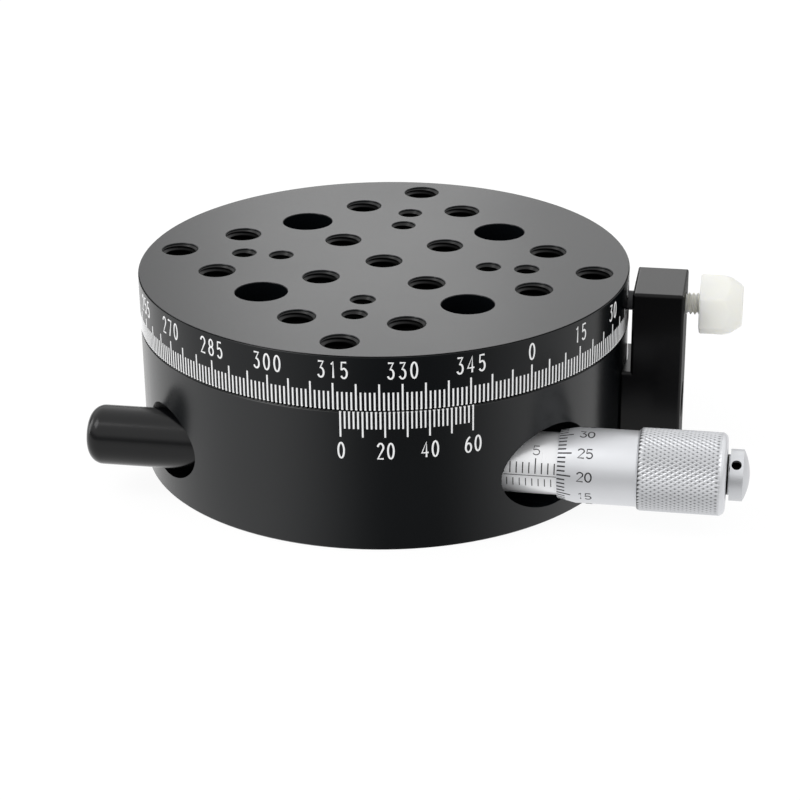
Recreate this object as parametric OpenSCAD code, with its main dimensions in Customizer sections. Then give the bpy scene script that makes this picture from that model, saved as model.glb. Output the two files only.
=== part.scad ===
// Manual rotation stage with a tangent micrometer drive.
// Origin: on the rotation axis, at the underside of the base.
// +X: along the micrometer, towards its thimble. +Z: up, out of the table.

/* [Stage body] */
// Diameter of the base and of the table
stage_d = 82; // [80:0.5:86]
// Height from the underside of the base to the top of the table
stage_h = 33; // [32.8:0.1:35]
// Height of the graduated table rim
table_h = 8.9; // [8.5:0.1:9.2]
// Gap between the base wall and the table rim
seam_gap = 0.3; // [0.2:0.05:0.5]
// Chamfer on the outer edges of base and table
edge_chamfer = 0.2; // [0.1:0.05:0.6]
// Turn of the table against the base at rest, in degrees
table_turn = -1; // [-45:0.5:45]

/* [Table holes] */
// Pitch of the square grid of mounting holes
grid_pitch = 12.5; // [12:0.25:13]
// Diameter of the M6 holes
m6_d = 6; // [5:0.1:6.2]
// Diameter of the M4 holes
m4_d = 4; // [3.3:0.1:4.2]
// Pitch circle of the four access holes and of the base screws below them
access_pcd = 48; // [47.6:0.1:48.4]
// Diameter of the access holes, wide enough for an M5 cap head
access_d = 8.6; // [8.6:0.1:9]
// Diameter of the base's own mounting holes, clearance for M5
base_screw_d = 5.5; // [5.2:0.1:5.8]
// Chamfer at the mouth of each tapped hole
mouth_chamfer = 0.12; // [0.1:0.01:0.3]

/* [Micrometer drive] */
// Distance from the rotation axis to the micrometer axis
drive_offset = 25.4; // [25.3:0.1:25.8]
// Height of the micrometer axis above the underside
drive_z = 9.8; // [9.7:0.1:9.9]
// Distance from the rotation axis to the middle of both wall openings
opening_offset = 26; // [25.6:0.1:26.2]
// Diameter of the wall opening round the micrometer
mic_opening_d = 14; // [13.8:0.1:14.4]
// Diameter of the wall opening round the spring plunger
plunger_opening_d = 12.3; // [12:0.1:12.8]
// Diameter of the graduated sleeve
sleeve_d = 10; // [9.6:0.1:10]
// Diameter of the smooth part of the thimble
thimble_d = 12.1; // [11.8:0.1:12.2]
// Diameter of the knurled grip
grip_d = 13.2; // [13:0.1:13.5]
// Diameter of the plunger housing
plunger_d = 9.8; // [9.4:0.1:10]
// Largest turn of the fine drive each way, in degrees
fine_range = 5; // [4:0.5:5]

/* [Lock] */
// Width of the lock block across the radius
block_w = 12.8; // [12.4:0.1:13]
// Thickness of the lock block's upper arm
block_t = 8.4; // [8:0.1:9]
// Gap between the table rim and the lock block
block_gap = 1.1; // [0.9:0.1:1.5]
// Height of the lock screw's axis
lock_z = 28.3; // [27.8:0.1:28.6]
// Width across flats of the lock screw's head
lock_head_af = 9.2; // [9:0.1:10]

/* [Bearing] */
// Bore of each ball bearing
bearing_id = 20; // [20:0.5:20]
// Outer diameter of each ball bearing
bearing_od = 32; // [32:0.5:32]
// Width of each ball bearing
bearing_w = 7; // [7:0.1:7]
// Balls in each bearing
ball_count = 16; // [12:1:17]

/* [Hidden] */
$fn = 96;

// Small amount by which cuts run past a face
cut = 1;
// Radial clearance of the running fits
run = 0.03;

// Heights through the stage
stage_r = stage_d / 2;
base_h = stage_h - table_h - seam_gap;
table_z = base_h + seam_gap;
chamber_z = 17.6;
ring_z = chamber_z + 0.2;
boss_top = 21.9;
ring_top = boss_top - 0.1;
retainer_h = 1.5;
bearing_z = boss_top - 2 * bearing_w;
washer_h = 0.5;
nut_h = 4;
nut_z = bearing_z - washer_h - nut_h;
hub_end_z = 3.2;
cover_h = 1.5;
screw_seat_z = 6;
centre_hole_depth = 14;
blind_hole_depth = 7.5;

// Radii of the centre
boss_r = 19.2;
chamber_r = 35.5;
bearing_r = bearing_id / 2;
hub_r = bearing_r - 0.01;
hub_shoulder_r = hub_r + 1.8;
nut_r = 12.8;
nut_bore_r = nut_r + 1;
cover_r = 18.6;
cover_screw_r = 16.1;
cover_screw_angles = [30, 150, 270];
retainer_r = 21.6;
retainer_bore_r = 14.3;
retainer_screw_r = 17.6;
outer_m4_r = 24.1;
ball_r = 1.5;
ball_pitch_r = (bearing_id + bearing_od) / 4;
race_wall = 1.9;
// Each bearing ring is a hair narrower than its pitch, so that the pair stays two pieces
bearing_ring_h = bearing_w - 0.02;
ball_angles = [for (i = [0 : ball_count - 1]) i * 360 / ball_count];
access_angles = [45, 135, 225, 315];
quadrants = [0, 90, 180, 270];

// Screws
screw_bore_d = 9.5;
edge_break = 0.1;
flat_head = 1.8;
head_gap = 0.03;
cover_screw_d = 2.5;
retainer_screw_d = 2;
m3_d = 3;
m3_head_depth = 3.4;

// Drive ring with its finger and its lug, and the room that they need in the base
ring_r = 34.8;
finger_w = 5.4;
finger_in = drive_offset - 3.6;
finger_out = drive_offset + 3.4;
finger_z = 5.4;
finger_room = 1.6;
anvil_x = 3.5;
anvil_r = 2;
anvil_sink = 0.8;
lug_in = 28.4;
lug_face = 34.6;
lug_w = 10;
lug_z = 6.3;
lug_pocket_z = lug_z - 0.8;
lug_pocket_half = atan(lug_w / 2 / lug_in) + fine_range + 2;
window_out = access_pcd / 2 + access_d / 2 + 0.4;
window_half = asin(access_d / access_pcd) + fine_range + 1;

// Stations and radii along the micrometer axis
web_in = 8.6;
web_out = 21.8;
stem_in = web_in + 0.4;
stem_r = 3.5;
set_screw_x = 15;
set_screw_z = 0.8;
tip_gap = 0.06;
barrel_r = 3.9;
barrel_end = 40.5;
nut_thread_x = 24;
sleeve_end = 38;
adjuster_r = 4.7;
adjuster_x = sleeve_end + 0.1;
thimble_front = 32.7;
thimble_bevel = 2.9;
bevel_drop = 0.6;
thimble_wall_x = 49;
grip_start = 45.7;
grip_end = 59.1;
grip_edge = 0.7;
cap_seat_x = 56;
cap_seat_r = 3.2;
cap_start = 59.6;
cap_end = 62.7;
cap_r = 4.1;
cap_dome_r = 8.8;
cap_hole_x = 60.6;
cap_hole_turn = 222;
cap_hole_d = 1.6;
spindle_r = 1.75;
screw_r = 2.5;
screw_x = 33;
screw_end = 48.8;
collar_r = 2.2;
tail_x = 55.5;
tail_end = 60.5;
tail_r = 1.5;

// Stations along the plunger, measured outwards
plunger_end = 44.7;
plunger_round = 2.4;
plunger_mouth = 23;
plunger_bore_r = 3.25;
spigot_end = 27;
pin_r = 1.5;
flange_in = 29.6;
flange_out = 31;
spring_seat = 41.8;
spring_wire_r = 0.4;
spring_coil_r = 2.5;
spring_turns = 6;

// Lock block
block_in = stage_r + block_gap;
block_out = block_in + block_t;
foot_gap = 0.2;
block_foot_in = stage_r - 0.6;
block_foot_z = 1.5;
block_ledge_z = 18;
block_top = 31.95;
block_edge_r = 0.5;
block_screw_z = 11;
tongue_w = 4.6;
tongue_h = 7.2;
tongue_in = lug_face - 0.8;
wall_slot_half = tongue_w / 2 + stage_r * sin(fine_range) + 0.25;
wall_slot_h = tongue_h + 0.8;
lock_r = 1.85;
lock_clear = 0.05;
lock_tip = block_in + 0.5;
head_in = 52.8;
head_out = 59.8;
head_cone = [8, 3.3];
pad_r = 1.6;
pad_gap = 0.02;

// Puts +Z of its children along +X of the drive axis, starting at station x
module along_drive(x) {
    translate([x, -drive_offset, drive_z]) rotate([0, 90, 0]) children();
}

// The same along -X, for the plunger side
module along_plunger(x) {
    translate([-x, -drive_offset, drive_z]) rotate([0, -90, 0]) children();
}

// Repeats its children at radius r and each of the angles
module ring_of(r, angles) {
    for (a = angles) rotate([0, 0, a]) translate([r, 0, 0]) children();
}

// A disc or post with a 45 degree chamfer at both ends
module chamfered_post(r, h, c) {
    translate([0, 0, c]) cylinder(r = r, h = h - 2 * c);
    cylinder(r1 = r - c, r2 = r, h = c);
    translate([0, 0, h - c]) cylinder(r1 = r, r2 = r - c, h = c);
}

// A sector round the +X axis, with its point on the rotation axis
module wedge(r, half_angle, h) {
    side = r * tan(half_angle);
    linear_extrude(h) polygon([[0, 0], [r, -side], [r, side]]);
}

// Puts its children at the cover's screws, head down
module at_cover_screws() {
    rotate([180, 0, 0]) ring_of(cover_screw_r, cover_screw_angles) children();
}

// A ring with a rectangular section
module tube(ro, ri, h) {
    difference() {
        cylinder(r = ro, h = h);
        translate([0, 0, -cut]) cylinder(r = ri, h = h + 2 * cut);
    }
}

// The tool that makes a hole down from a top face at z, with a chamfer c at its mouth
module drilled(d, z, depth, c) {
    translate([0, 0, z - depth]) cylinder(d = d, h = depth + cut);
    translate([0, 0, z - c]) cylinder(d1 = d, d2 = d + 2 * (c + cut), h = c + cut);
}

// The outline of a countersunk screw with its top at z = 0, grown by a gap
module flat_screw_body(d, length, gap) {
    head_d = flat_head * d + 2 * gap;
    translate([0, 0, -length]) cylinder(d = d + 2 * gap, h = length);
    translate([0, 0, -0.55 * d]) cylinder(d1 = d + 2 * gap, d2 = head_d, h = 0.5 * d);
    translate([0, 0, -0.05 * d]) cylinder(d = head_d, h = 0.05 * d + (gap > 0 ? cut : 0));
}

// A countersunk screw with a hexagon socket
module flat_screw(d, length) {
    difference() {
        flat_screw_body(d, length, 0);
        translate([0, 0, -0.4 * d]) cylinder(d = 0.72 * d, h = d, $fn = 6);
    }
}

// A rectangle with round corners
module rounded_face(w, h, r) {
    translate([r, 0]) square([w - 2 * r, h]);
    translate([0, r]) square([w, h - 2 * r]);
    for (x = [r, w - r], y = [r, h - r]) translate([x, y]) circle(r = r);
}

// A bar with all twelve edges rounded, between two corners
module rounded_bar(low, high, r) {
    size = high - low;
    translate(low) intersection() {
        linear_extrude(size.z) rounded_face(size.x, size.y, r);
        translate([0, size.y, 0]) rotate([90, 0, 0])
            linear_extrude(size.y) rounded_face(size.x, size.z, r);
        rotate([90, 0, 90]) linear_extrude(size.x) rounded_face(size.y, size.z, r);
    }
}

// The base: a thick disc with a chamber for the drive ring round the bearing boss
module base() color("#1b1b1d") difference() {
    chamfered_post(stage_r, base_h, edge_chamfer);
    // chamber for the drive ring
    translate([0, 0, chamber_z]) tube(chamber_r, boss_r, base_h);
    translate([0, 0, boss_top]) cylinder(r = boss_r + cut, h = base_h);
    // bearing seat, nut bore and cover recess
    translate([0, 0, bearing_z]) cylinder(d = bearing_od, h = base_h);
    translate([0, 0, -cut]) cylinder(r = nut_bore_r, h = base_h);
    translate([0, 0, -cut]) cylinder(r = cover_r, h = cut + cover_h);
    // mounting holes, reached through the table
    ring_of(access_pcd / 2, access_angles) {
        translate([0, 0, -cut]) cylinder(d = base_screw_d, h = base_h);
        translate([0, 0, screw_seat_z]) cylinder(d = screw_bore_d, h = base_h);
    }
    // pocket for the drive ring's finger
    translate([-web_in, -finger_out - finger_room, finger_z - 0.8])
        cube([2 * web_in, finger_out - finger_in + finger_room + 1, base_h]);
    // pocket for the drive ring's lug
    translate([0, 0, lug_pocket_z]) intersection() {
        tube(chamber_r, lug_in - 1.4, base_h);
        wedge(stage_r, lug_pocket_half, base_h);
    }
    // wall slot for the lock block's tongue
    translate([chamber_r - cut, -wall_slot_half, block_screw_z - wall_slot_h / 2])
        cube([stage_r, 2 * wall_slot_half, wall_slot_h]);
    // bores for the micrometer's stem and the plunger's bushing
    along_drive(0) cylinder(r = stem_r, h = web_out + cut);
    along_plunger(0) cylinder(r = stem_r, h = web_out + cut);
    // wall openings round the micrometer and the plunger
    translate([0, drive_offset - opening_offset, 0]) {
        along_drive(web_out) cylinder(d = mic_opening_d, h = 30);
        along_plunger(web_out) cylinder(d = plunger_opening_d, h = 30);
    }
    // tapped hole for the stem's set screw
    translate([set_screw_x, -drive_offset, -cut]) cylinder(d = m3_d, h = drive_z);
    // tapped holes of the cover and of the retainer
    at_cover_screws() cylinder(d = cover_screw_d, h = 12, center = true);
    ring_of(retainer_screw_r, quadrants)
        translate([0, 0, boss_top - 4]) cylinder(d = retainer_screw_d, h = 5);
}

// Disc that closes the nut bore from below
module bottom_cover() color("#2a2a2d") difference() {
    cylinder(r = cover_r, h = cover_h);
    at_cover_screws() flat_screw_body(cover_screw_d, 3, head_gap);
}

module cover_screws() color("#3a3a3c")
    at_cover_screws() flat_screw(cover_screw_d, 5);

// Both bearings, drawn from the middle plane of each
module each_bearing() {
    for (i = [0, 1]) translate([0, 0, bearing_z + (i + 0.5) * bearing_w]) children();
}

// The ball groove that both rings share
module ball_groove() {
    rotate_extrude() translate([ball_pitch_r, 0]) circle(r = ball_r + 0.04);
}

module bearing_outer_rings() color("#b9bcc0") each_bearing() difference() {
    translate([0, 0, -bearing_ring_h / 2])
        tube(bearing_od / 2, bearing_od / 2 - race_wall, bearing_ring_h);
    ball_groove();
}

module bearing_inner_rings() color("#b9bcc0") each_bearing() difference() {
    translate([0, 0, -bearing_ring_h / 2]) tube(bearing_r + race_wall, bearing_r, bearing_ring_h);
    ball_groove();
}

module bearing_balls() color("#d8dade") each_bearing()
    ring_of(ball_pitch_r, ball_angles) sphere(r = ball_r);

module bearing_cages() color("#c9a55a") each_bearing() difference() {
    translate([0, 0, -2.1]) tube(ball_pitch_r + 0.7, ball_pitch_r - 0.7, 4.2);
    ring_of(ball_pitch_r, ball_angles)
        rotate([0, 90, 0]) cylinder(r = ball_r + 0.06, h = 4, center = true);
}

// Clamps the outer rings and keeps the drive ring down
module bearing_retainer() color("#2a2a2d") difference() {
    translate([0, 0, boss_top]) tube(retainer_r, retainer_bore_r, retainer_h);
    ring_of(access_pcd / 2, access_angles)
        translate([0, 0, boss_top - cut]) cylinder(d = screw_bore_d, h = retainer_h + 2 * cut);
    ring_of(retainer_screw_r, quadrants) translate([0, 0, boss_top + retainer_h])
        flat_screw_body(retainer_screw_d, 3, head_gap);
}

module retainer_screws() color("#3a3a3c")
    ring_of(retainer_screw_r, quadrants) translate([0, 0, boss_top + retainer_h])
        flat_screw(retainer_screw_d, 5);

// Drills the same hole at each of these points, which are counted in grid steps
module grid_holes(points, d, depth) {
    for (p = points) translate([p.x * grid_pitch, p.y * grid_pitch, 0])
        drilled(d, stage_h, depth, mouth_chamfer);
}

// The turning table: graduated rim, hole grid and hub in one piece
module table() color("#202022") rotate([0, 0, table_turn]) difference() {
    union() {
        translate([0, 0, table_z]) chamfered_post(stage_r, table_h, edge_chamfer);
        translate([0, 0, boss_top]) cylinder(r = hub_shoulder_r, h = table_z - boss_top + cut);
        translate([0, 0, hub_end_z]) cylinder(r = hub_r, h = table_z - hub_end_z + cut);
    }
    rotate([0, 0, 45]) {
        // M6 grid: centre, four round it, eight outside them and four at the corners
        grid_holes([[0, 0]], m6_d, centre_hole_depth);
        grid_holes([for (s = [-1, 1]) each [[s, 0], [0, s]]], m6_d, blind_hole_depth);
        grid_holes([for (s = [-1, 1], t = [-1, 1]) each [[s, 2 * t], [2 * s, t], [2 * s, 2 * t]]],
                   m6_d, table_h + cut);
        // M4 holes between them
        grid_holes([for (s = [-1, 1], t = [-1, 1]) [s, t]], m4_d, table_h + cut);
    }
    rotate([0, 0, 90]) ring_of(outer_m4_r, quadrants)
        drilled(m4_d, stage_h, table_h + cut, mouth_chamfer);
    ring_of(access_pcd / 2, access_angles)
        drilled(access_d, stage_h, table_h + cut, edge_break);
}

module hub_washer() color("#b0b2b5")
    translate([0, 0, bearing_z - washer_h]) tube(bearing_r + race_wall, bearing_r, washer_h);

// Slotted ring nut that draws the inner rings against the hub's shoulder
module hub_nut() color("#8d9095") difference() {
    translate([0, 0, nut_z]) tube(nut_r, bearing_r, nut_h);
    ring_of(nut_r, quadrants)
        translate([-1.2, -1.5, nut_z - cut]) cube([3, 3, nut_h + 2 * cut]);
}

// The tangent ring: it turns on the boss, its finger is driven by the micrometer
// and its lug carries the lock block
module drive_ring() color("#c3c6ca") difference() {
    union() {
        translate([0, 0, ring_z]) tube(ring_r, boss_r + run, ring_top - ring_z);
        translate([-finger_w / 2, -finger_out, finger_z])
            cube([finger_w, finger_out - finger_in, ring_z - finger_z + cut]);
        translate([lug_in, -lug_w / 2, lug_z])
            cube([lug_face - lug_in, lug_w, ring_z - lug_z + cut]);
    }
    // windows that keep the base screws in reach over the whole range
    for (a = access_angles) rotate([0, 0, a])
        translate([0, 0, ring_z - cut]) intersection() {
            tube(window_out, boss_r - 2, 10);
            wedge(stage_r, window_half, 10);
        }
    // seats of the two anvils
    at_anvils() cylinder(r = anvil_r, h = 5);
    // groove for the tongue and tapped hole for its screw
    translate([tongue_in, -tongue_w / 2, block_screw_z - tongue_h / 2])
        cube([5, tongue_w, tongue_h]);
    translate([lug_in + 1.2, 0, block_screw_z]) rotate([0, 90, 0]) cylinder(d = m3_d, h = 10);
}

// Puts its children at the anvils, pointing out of both sides of the finger
module at_anvils() {
    for (s = [-1, 1])
        translate([s * (finger_w / 2 - anvil_sink), -drive_offset, drive_z])
            rotate([0, s * 90, 0]) children();
}

// Hardened pads on both sides of the finger
module drive_anvils() color("#9a9da2")
    at_anvils() cylinder(r = anvil_r, h = anvil_x - finger_w / 2 + anvil_sink);

// The lock block's foot, hollowed to the base's round wall
module block_foot() difference() {
    rounded_bar([block_foot_in, -block_w / 2, block_foot_z],
                [block_out, block_w / 2, block_ledge_z], block_edge_r);
    cylinder(r = stage_r + foot_gap, h = stage_h);
}

// The lock block: foot, upper arm beside the rim, and the tongue through the wall
module lock_block() color("#161617") difference() {
    union() {
        block_foot();
        rounded_bar([block_in, -block_w / 2, block_foot_z],
                    [block_out, block_w / 2, block_top], block_edge_r);
        translate([tongue_in, -tongue_w / 2, block_screw_z - tongue_h / 2])
            cube([block_in - tongue_in, tongue_w, tongue_h]);
    }
    // counterbored hole for the fixing screw
    translate([lug_in, 0, block_screw_z]) rotate([0, 90, 0]) cylinder(d = m3_d, h = 40);
    translate([block_out - m3_head_depth, 0, block_screw_z])
        rotate([0, 90, 0]) cylinder(d = 6, h = 10);
    // tapped hole for the lock screw
    translate([lug_in, 0, lock_z]) rotate([0, 90, 0]) cylinder(r = lock_r + lock_clear, h = 40);
}

// Socket cap screw that holds the lock block to the drive ring
module block_screw() color("#3a3a3c")
    translate([block_out - m3_head_depth, 0, block_screw_z]) rotate([0, 90, 0]) difference() {
        union() {
            chamfered_post(2.75, m3_d, 0.2);
            translate([0, 0, -17]) cylinder(d = m3_d, h = 17 + cut);
        }
        translate([0, 0, 1.5]) cylinder(d = 2.9, h = 3, $fn = 6);
    }

// Nylon hand screw with a hexagonal head, one corner up
module lock_screw() color("#ecebe0")
    translate([lock_tip, 0, lock_z]) rotate([0, 90, 0]) {
        cylinder(r = lock_r, h = head_in - lock_tip + cut);
        translate([0, 0, head_in - lock_tip]) intersection() {
            cylinder(d = lock_head_af / cos(30), h = head_out - head_in, $fn = 6);
            cylinder(r1 = head_cone[0], r2 = head_cone[1], h = head_out - head_in);
        }
    }

// Pressure pad between the lock screw and the table rim
module lock_pad() color("#4b4b4e")
    translate([stage_r + pad_gap, 0, lock_z]) rotate([0, 90, 0])
        cylinder(r = pad_r, h = lock_tip - stage_r - pad_gap);

// Fixed inner part of the micrometer: stem in the base, nut thread at its end
module micrometer_barrel() color("#c9ccd1") difference() {
    union() {
        along_drive(stem_in) cylinder(r = stem_r, h = web_out - stem_in + cut);
        along_drive(web_out) cylinder(r = barrel_r, h = barrel_end - web_out);
    }
    along_drive(0) cylinder(r = spindle_r + run, h = barrel_end + cut);
    along_drive(nut_thread_x) cylinder(r = screw_r + run, h = barrel_end);
}

// Graduated outer sleeve
module micrometer_sleeve() color("#dfe2e6")
    along_drive(web_out) tube(sleeve_d / 2, barrel_r, sleeve_end - web_out);

// Takes up wear in the nut thread
module adjusting_nut() color("#a9acb1") along_drive(adjuster_x) difference() {
    tube(adjuster_r, barrel_r, barrel_end - adjuster_x);
    for (a = [0, 180]) rotate([0, 0, a])
        translate([adjuster_r - 0.5, -0.5, 1.4]) cube([2, 1, 3]);
}

// Measuring spindle: domed tip, plain front, screw, and tail for the thimble
module spindle() color("#b4b8bd") {
    tip = anvil_x + tip_gap;
    along_drive(tip + spindle_r) sphere(r = spindle_r);
    along_drive(tip + spindle_r) cylinder(r = spindle_r, h = screw_x - tip - spindle_r);
    along_drive(screw_x) cylinder(r = screw_r, h = screw_end - screw_x);
    along_drive(screw_end) cylinder(r = collar_r, h = tail_x - screw_end);
    along_drive(tail_x) cylinder(r = tail_r, h = tail_end - tail_x);
}

// Thimble: bevelled graduated front, smooth drum, knurled grip
module thimble() color("#d5d8dc") difference() {
    union() {
        along_drive(thimble_front)
            cylinder(r1 = thimble_d / 2 - bevel_drop, r2 = thimble_d / 2, h = thimble_bevel);
        along_drive(thimble_front + thimble_bevel)
            cylinder(d = thimble_d, h = grip_start - thimble_front - thimble_bevel);
        along_drive(grip_start - 0.6)
            cylinder(r1 = thimble_d / 2, r2 = grip_d / 2, h = 0.6);
        along_drive(grip_start) cylinder(d = grip_d, h = grip_end - grip_start - grip_edge);
        along_drive(grip_end - grip_edge)
            cylinder(r1 = grip_d / 2, r2 = grip_d / 2 - grip_edge, h = grip_edge);
    }
    along_drive(0) cylinder(r = sleeve_d / 2 + run, h = thimble_wall_x);
    along_drive(0) cylinder(r = collar_r + run, h = grip_end + cut);
    along_drive(cap_seat_x) cylinder(r = cap_seat_r, h = 10);
}

// Domed cap that clamps the thimble on the spindle's tail
module thimble_cap() color("#c8cbd0") difference() {
    union() {
        along_drive(cap_seat_x) cylinder(r = cap_seat_r, h = cap_start - cap_seat_x + cut);
        intersection() {
            along_drive(cap_start) cylinder(r = cap_r, h = cap_end - cap_start);
            along_drive(cap_end - cap_dome_r) sphere(r = cap_dome_r);
        }
    }
    along_drive(tail_x - cut) cylinder(r = tail_r + run, h = tail_end - tail_x + cut + 0.5);
    // hole for a pin spanner
    along_drive(cap_hole_x) rotate([0, 0, cap_hole_turn]) rotate([0, 90, 0])
        translate([0, 0, tail_r + 0.3]) cylinder(d = cap_hole_d, h = cap_r);
}

// Set screw that clamps the micrometer's stem from below
module stem_set_screw() color("#3a3a3c")
    translate([set_screw_x, -drive_offset, set_screw_z]) difference() {
        cylinder(d = m3_d, h = drive_z - stem_r - set_screw_z);
        translate([0, 0, -cut]) cylinder(d = 1.7, h = 2.4, $fn = 6);
    }

// Round-nosed spring housing
module plunger_housing() color("#1c1c1e") difference() {
    union() {
        along_plunger(plunger_mouth)
            cylinder(d = plunger_d, h = plunger_end - plunger_round - plunger_mouth);
        along_plunger(plunger_mouth)
            cylinder(r = plunger_d / 2 - plunger_round, h = plunger_end - plunger_mouth);
        along_plunger(plunger_end - plunger_round)
            rotate_extrude() translate([plunger_d / 2 - plunger_round, 0])
                circle(r = plunger_round);
    }
    along_plunger(0) cylinder(r = plunger_bore_r, h = spring_seat);
}

// Guide bushing that holds the housing in the base
module plunger_bushing() color("#b08a4a") difference() {
    union() {
        along_plunger(stem_in) cylinder(r = stem_r, h = web_out - stem_in);
        along_plunger(web_out) cylinder(d = plunger_d - 0.4, h = plunger_mouth - web_out);
        along_plunger(web_out) cylinder(r = plunger_bore_r, h = spigot_end - web_out);
    }
    along_plunger(0) cylinder(r = pin_r + run, h = 40);
}

// Pin that the spring presses against the finger
module plunger_pin() color("#b4b8bd") {
    tip = anvil_x + tip_gap;
    along_plunger(tip + pin_r) sphere(r = pin_r);
    along_plunger(tip + pin_r) cylinder(r = pin_r, h = flange_in - tip - pin_r);
    along_plunger(flange_in) cylinder(r = plunger_bore_r - 0.1, h = flange_out - flange_in);
    along_plunger(flange_out) cylinder(r = 1.2, h = 5);
}

// Points of one ring of the spring's wire, at turn t (0 to 1)
function wire_ring(t, length, sides) = let (
    a = 360 * spring_turns * t,
    lift = spring_wire_r + t * (length - 2 * spring_wire_r)
) [for (i = [0 : sides - 1]) let (b = 360 * i / sides)
    [(spring_coil_r + spring_wire_r * cos(b)) * cos(a),
     (spring_coil_r + spring_wire_r * cos(b)) * sin(a),
     lift + spring_wire_r * sin(b)]];

// Compression spring between the pin's flange and the closed end
module plunger_spring() color("#8f9398") {
    sides = 6;
    rings = spring_turns * 12;
    length = spring_seat - flange_out - 0.02;
    points = [for (k = [0 : rings]) each wire_ring(k / rings, length, sides)];
    walls = [for (k = [0 : rings - 1], i = [0 : sides - 1]) let (j = (i + 1) % sides)
        [k * sides + i, k * sides + j, (k + 1) * sides + j, (k + 1) * sides + i]];
    along_plunger(flange_out + 0.01) polyhedron(points, concat(
        [[for (i = [sides - 1 : -1 : 0]) i]], walls,
        [[for (i = [0 : sides - 1]) rings * sides + i]]));
}

base();
bottom_cover();
cover_screws();
bearing_outer_rings();
bearing_inner_rings();
bearing_balls();
bearing_cages();
bearing_retainer();
retainer_screws();
table();
hub_washer();
hub_nut();
drive_ring();
drive_anvils();
lock_block();
block_screw();
lock_screw();
lock_pad();
micrometer_barrel();
micrometer_sleeve();
adjusting_nut();
spindle();
thimble();
thimble_cap();
stem_set_screw();
plunger_housing();
plunger_bushing();
plunger_pin();
plunger_spring();
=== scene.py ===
"""Studio dressing of a manual rotation stage.

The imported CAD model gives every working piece. This script gives each of them its finish and adds
what is engraved, cut or moulded on them: the degree ring, the vernier, the micrometer's scales, the
knurled thimble, the threads in the table, the nylon lock screw and the plunger's spring. It also
sets the camera, the lamps and the floor.
"""

import logging
import math
from collections.abc import Callable, Iterable, Iterator, Sequence
from contextlib import contextmanager
from dataclasses import dataclass
from enum import Enum

import bmesh
import bpy
from mathutils import Matrix, Vector


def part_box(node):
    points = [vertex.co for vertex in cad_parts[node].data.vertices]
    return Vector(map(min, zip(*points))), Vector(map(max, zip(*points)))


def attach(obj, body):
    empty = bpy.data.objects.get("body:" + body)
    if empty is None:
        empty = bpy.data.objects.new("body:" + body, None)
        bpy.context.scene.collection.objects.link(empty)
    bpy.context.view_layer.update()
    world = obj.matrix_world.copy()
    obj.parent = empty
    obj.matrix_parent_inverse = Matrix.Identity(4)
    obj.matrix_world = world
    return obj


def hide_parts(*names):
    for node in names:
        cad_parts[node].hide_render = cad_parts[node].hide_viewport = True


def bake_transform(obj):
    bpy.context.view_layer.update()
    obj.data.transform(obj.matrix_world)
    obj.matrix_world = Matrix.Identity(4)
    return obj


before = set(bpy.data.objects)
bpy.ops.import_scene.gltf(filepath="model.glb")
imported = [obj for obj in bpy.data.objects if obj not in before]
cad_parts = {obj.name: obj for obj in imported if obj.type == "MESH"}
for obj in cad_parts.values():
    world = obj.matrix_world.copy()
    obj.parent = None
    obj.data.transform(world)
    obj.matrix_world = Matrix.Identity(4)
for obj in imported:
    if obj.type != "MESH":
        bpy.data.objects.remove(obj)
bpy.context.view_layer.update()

LOG = logging.getLogger("rotation_stage")
MM = 0.001
WELD = 0.001 * MM
HAIR = 0.01 * MM
FULL_TURN = 2 * math.pi
Object = bpy.types.Object
Material = bpy.types.Material
Node = bpy.types.Node
Socket = bpy.types.NodeSocket
Colour = tuple[float, float, float]


# ---------------------------------------------------------------------------------------------
# Modelling
# ---------------------------------------------------------------------------------------------


def take(*objects: Object) -> None:
    """Selects only these objects and makes the first of them active.

    Args:
        *objects: What to select.
    """
    bpy.ops.object.select_all(action="DESELECT")
    for obj in objects:
        obj.select_set(True)
    bpy.context.view_layer.objects.active = objects[0]


def start(add: Callable, **settings: object) -> Object:
    """Adds a primitive, with nothing else selected.

    Args:
        add: The primitive's operator.
        **settings: Its size and place.

    Returns:
        The new object.
    """
    bpy.ops.object.select_all(action="DESELECT")
    add(**settings)
    return bpy.context.active_object


@contextmanager
def editing(obj: Object) -> Iterator[None]:
    """Edit mode on one object, with all its vertices selected at first.

    Args:
        obj: The object.

    Yields:
        Nothing. The mesh is open to the operators until the block ends.
    """
    take(obj)
    bpy.ops.object.mode_set(mode="EDIT")
    bpy.ops.mesh.select_mode(type="VERT")
    bpy.ops.mesh.select_all(action="SELECT")
    try:
        yield
    finally:
        bpy.ops.object.mode_set(mode="OBJECT")


def pick(obj: Object, test: Callable[[Vector], bool]) -> None:
    """Selects, in edit mode, the vertices whose place passes a test.

    Args:
        obj: The object in edit mode.
        test: Says of a vertex's place whether it is wanted.
    """
    mesh = bmesh.from_edit_mesh(obj.data)
    bpy.ops.mesh.select_all(action="DESELECT")
    for vertex in mesh.verts:
        vertex.select = test(vertex.co)
    mesh.select_flush(True)
    bmesh.update_edit_mesh(obj.data)


def settle(obj: Object, name: str = "") -> Object:
    """Moves the object's place, turn and scale into its mesh.

    Args:
        obj: The object.
        name: Its name from now on, if it gets one.

    Returns:
        The same object.
    """
    take(obj)
    bpy.ops.object.transform_apply(location=True, rotation=True, scale=True)
    if name:
        obj.name = name
        obj.data.name = name
    return obj


def moved(obj: Object, motion: Matrix, name: str = "") -> Object:
    """Moves an object's mesh by a motion, and names it if a name is given."""
    obj.matrix_world = motion @ obj.matrix_world
    return settle(obj, name)


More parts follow.
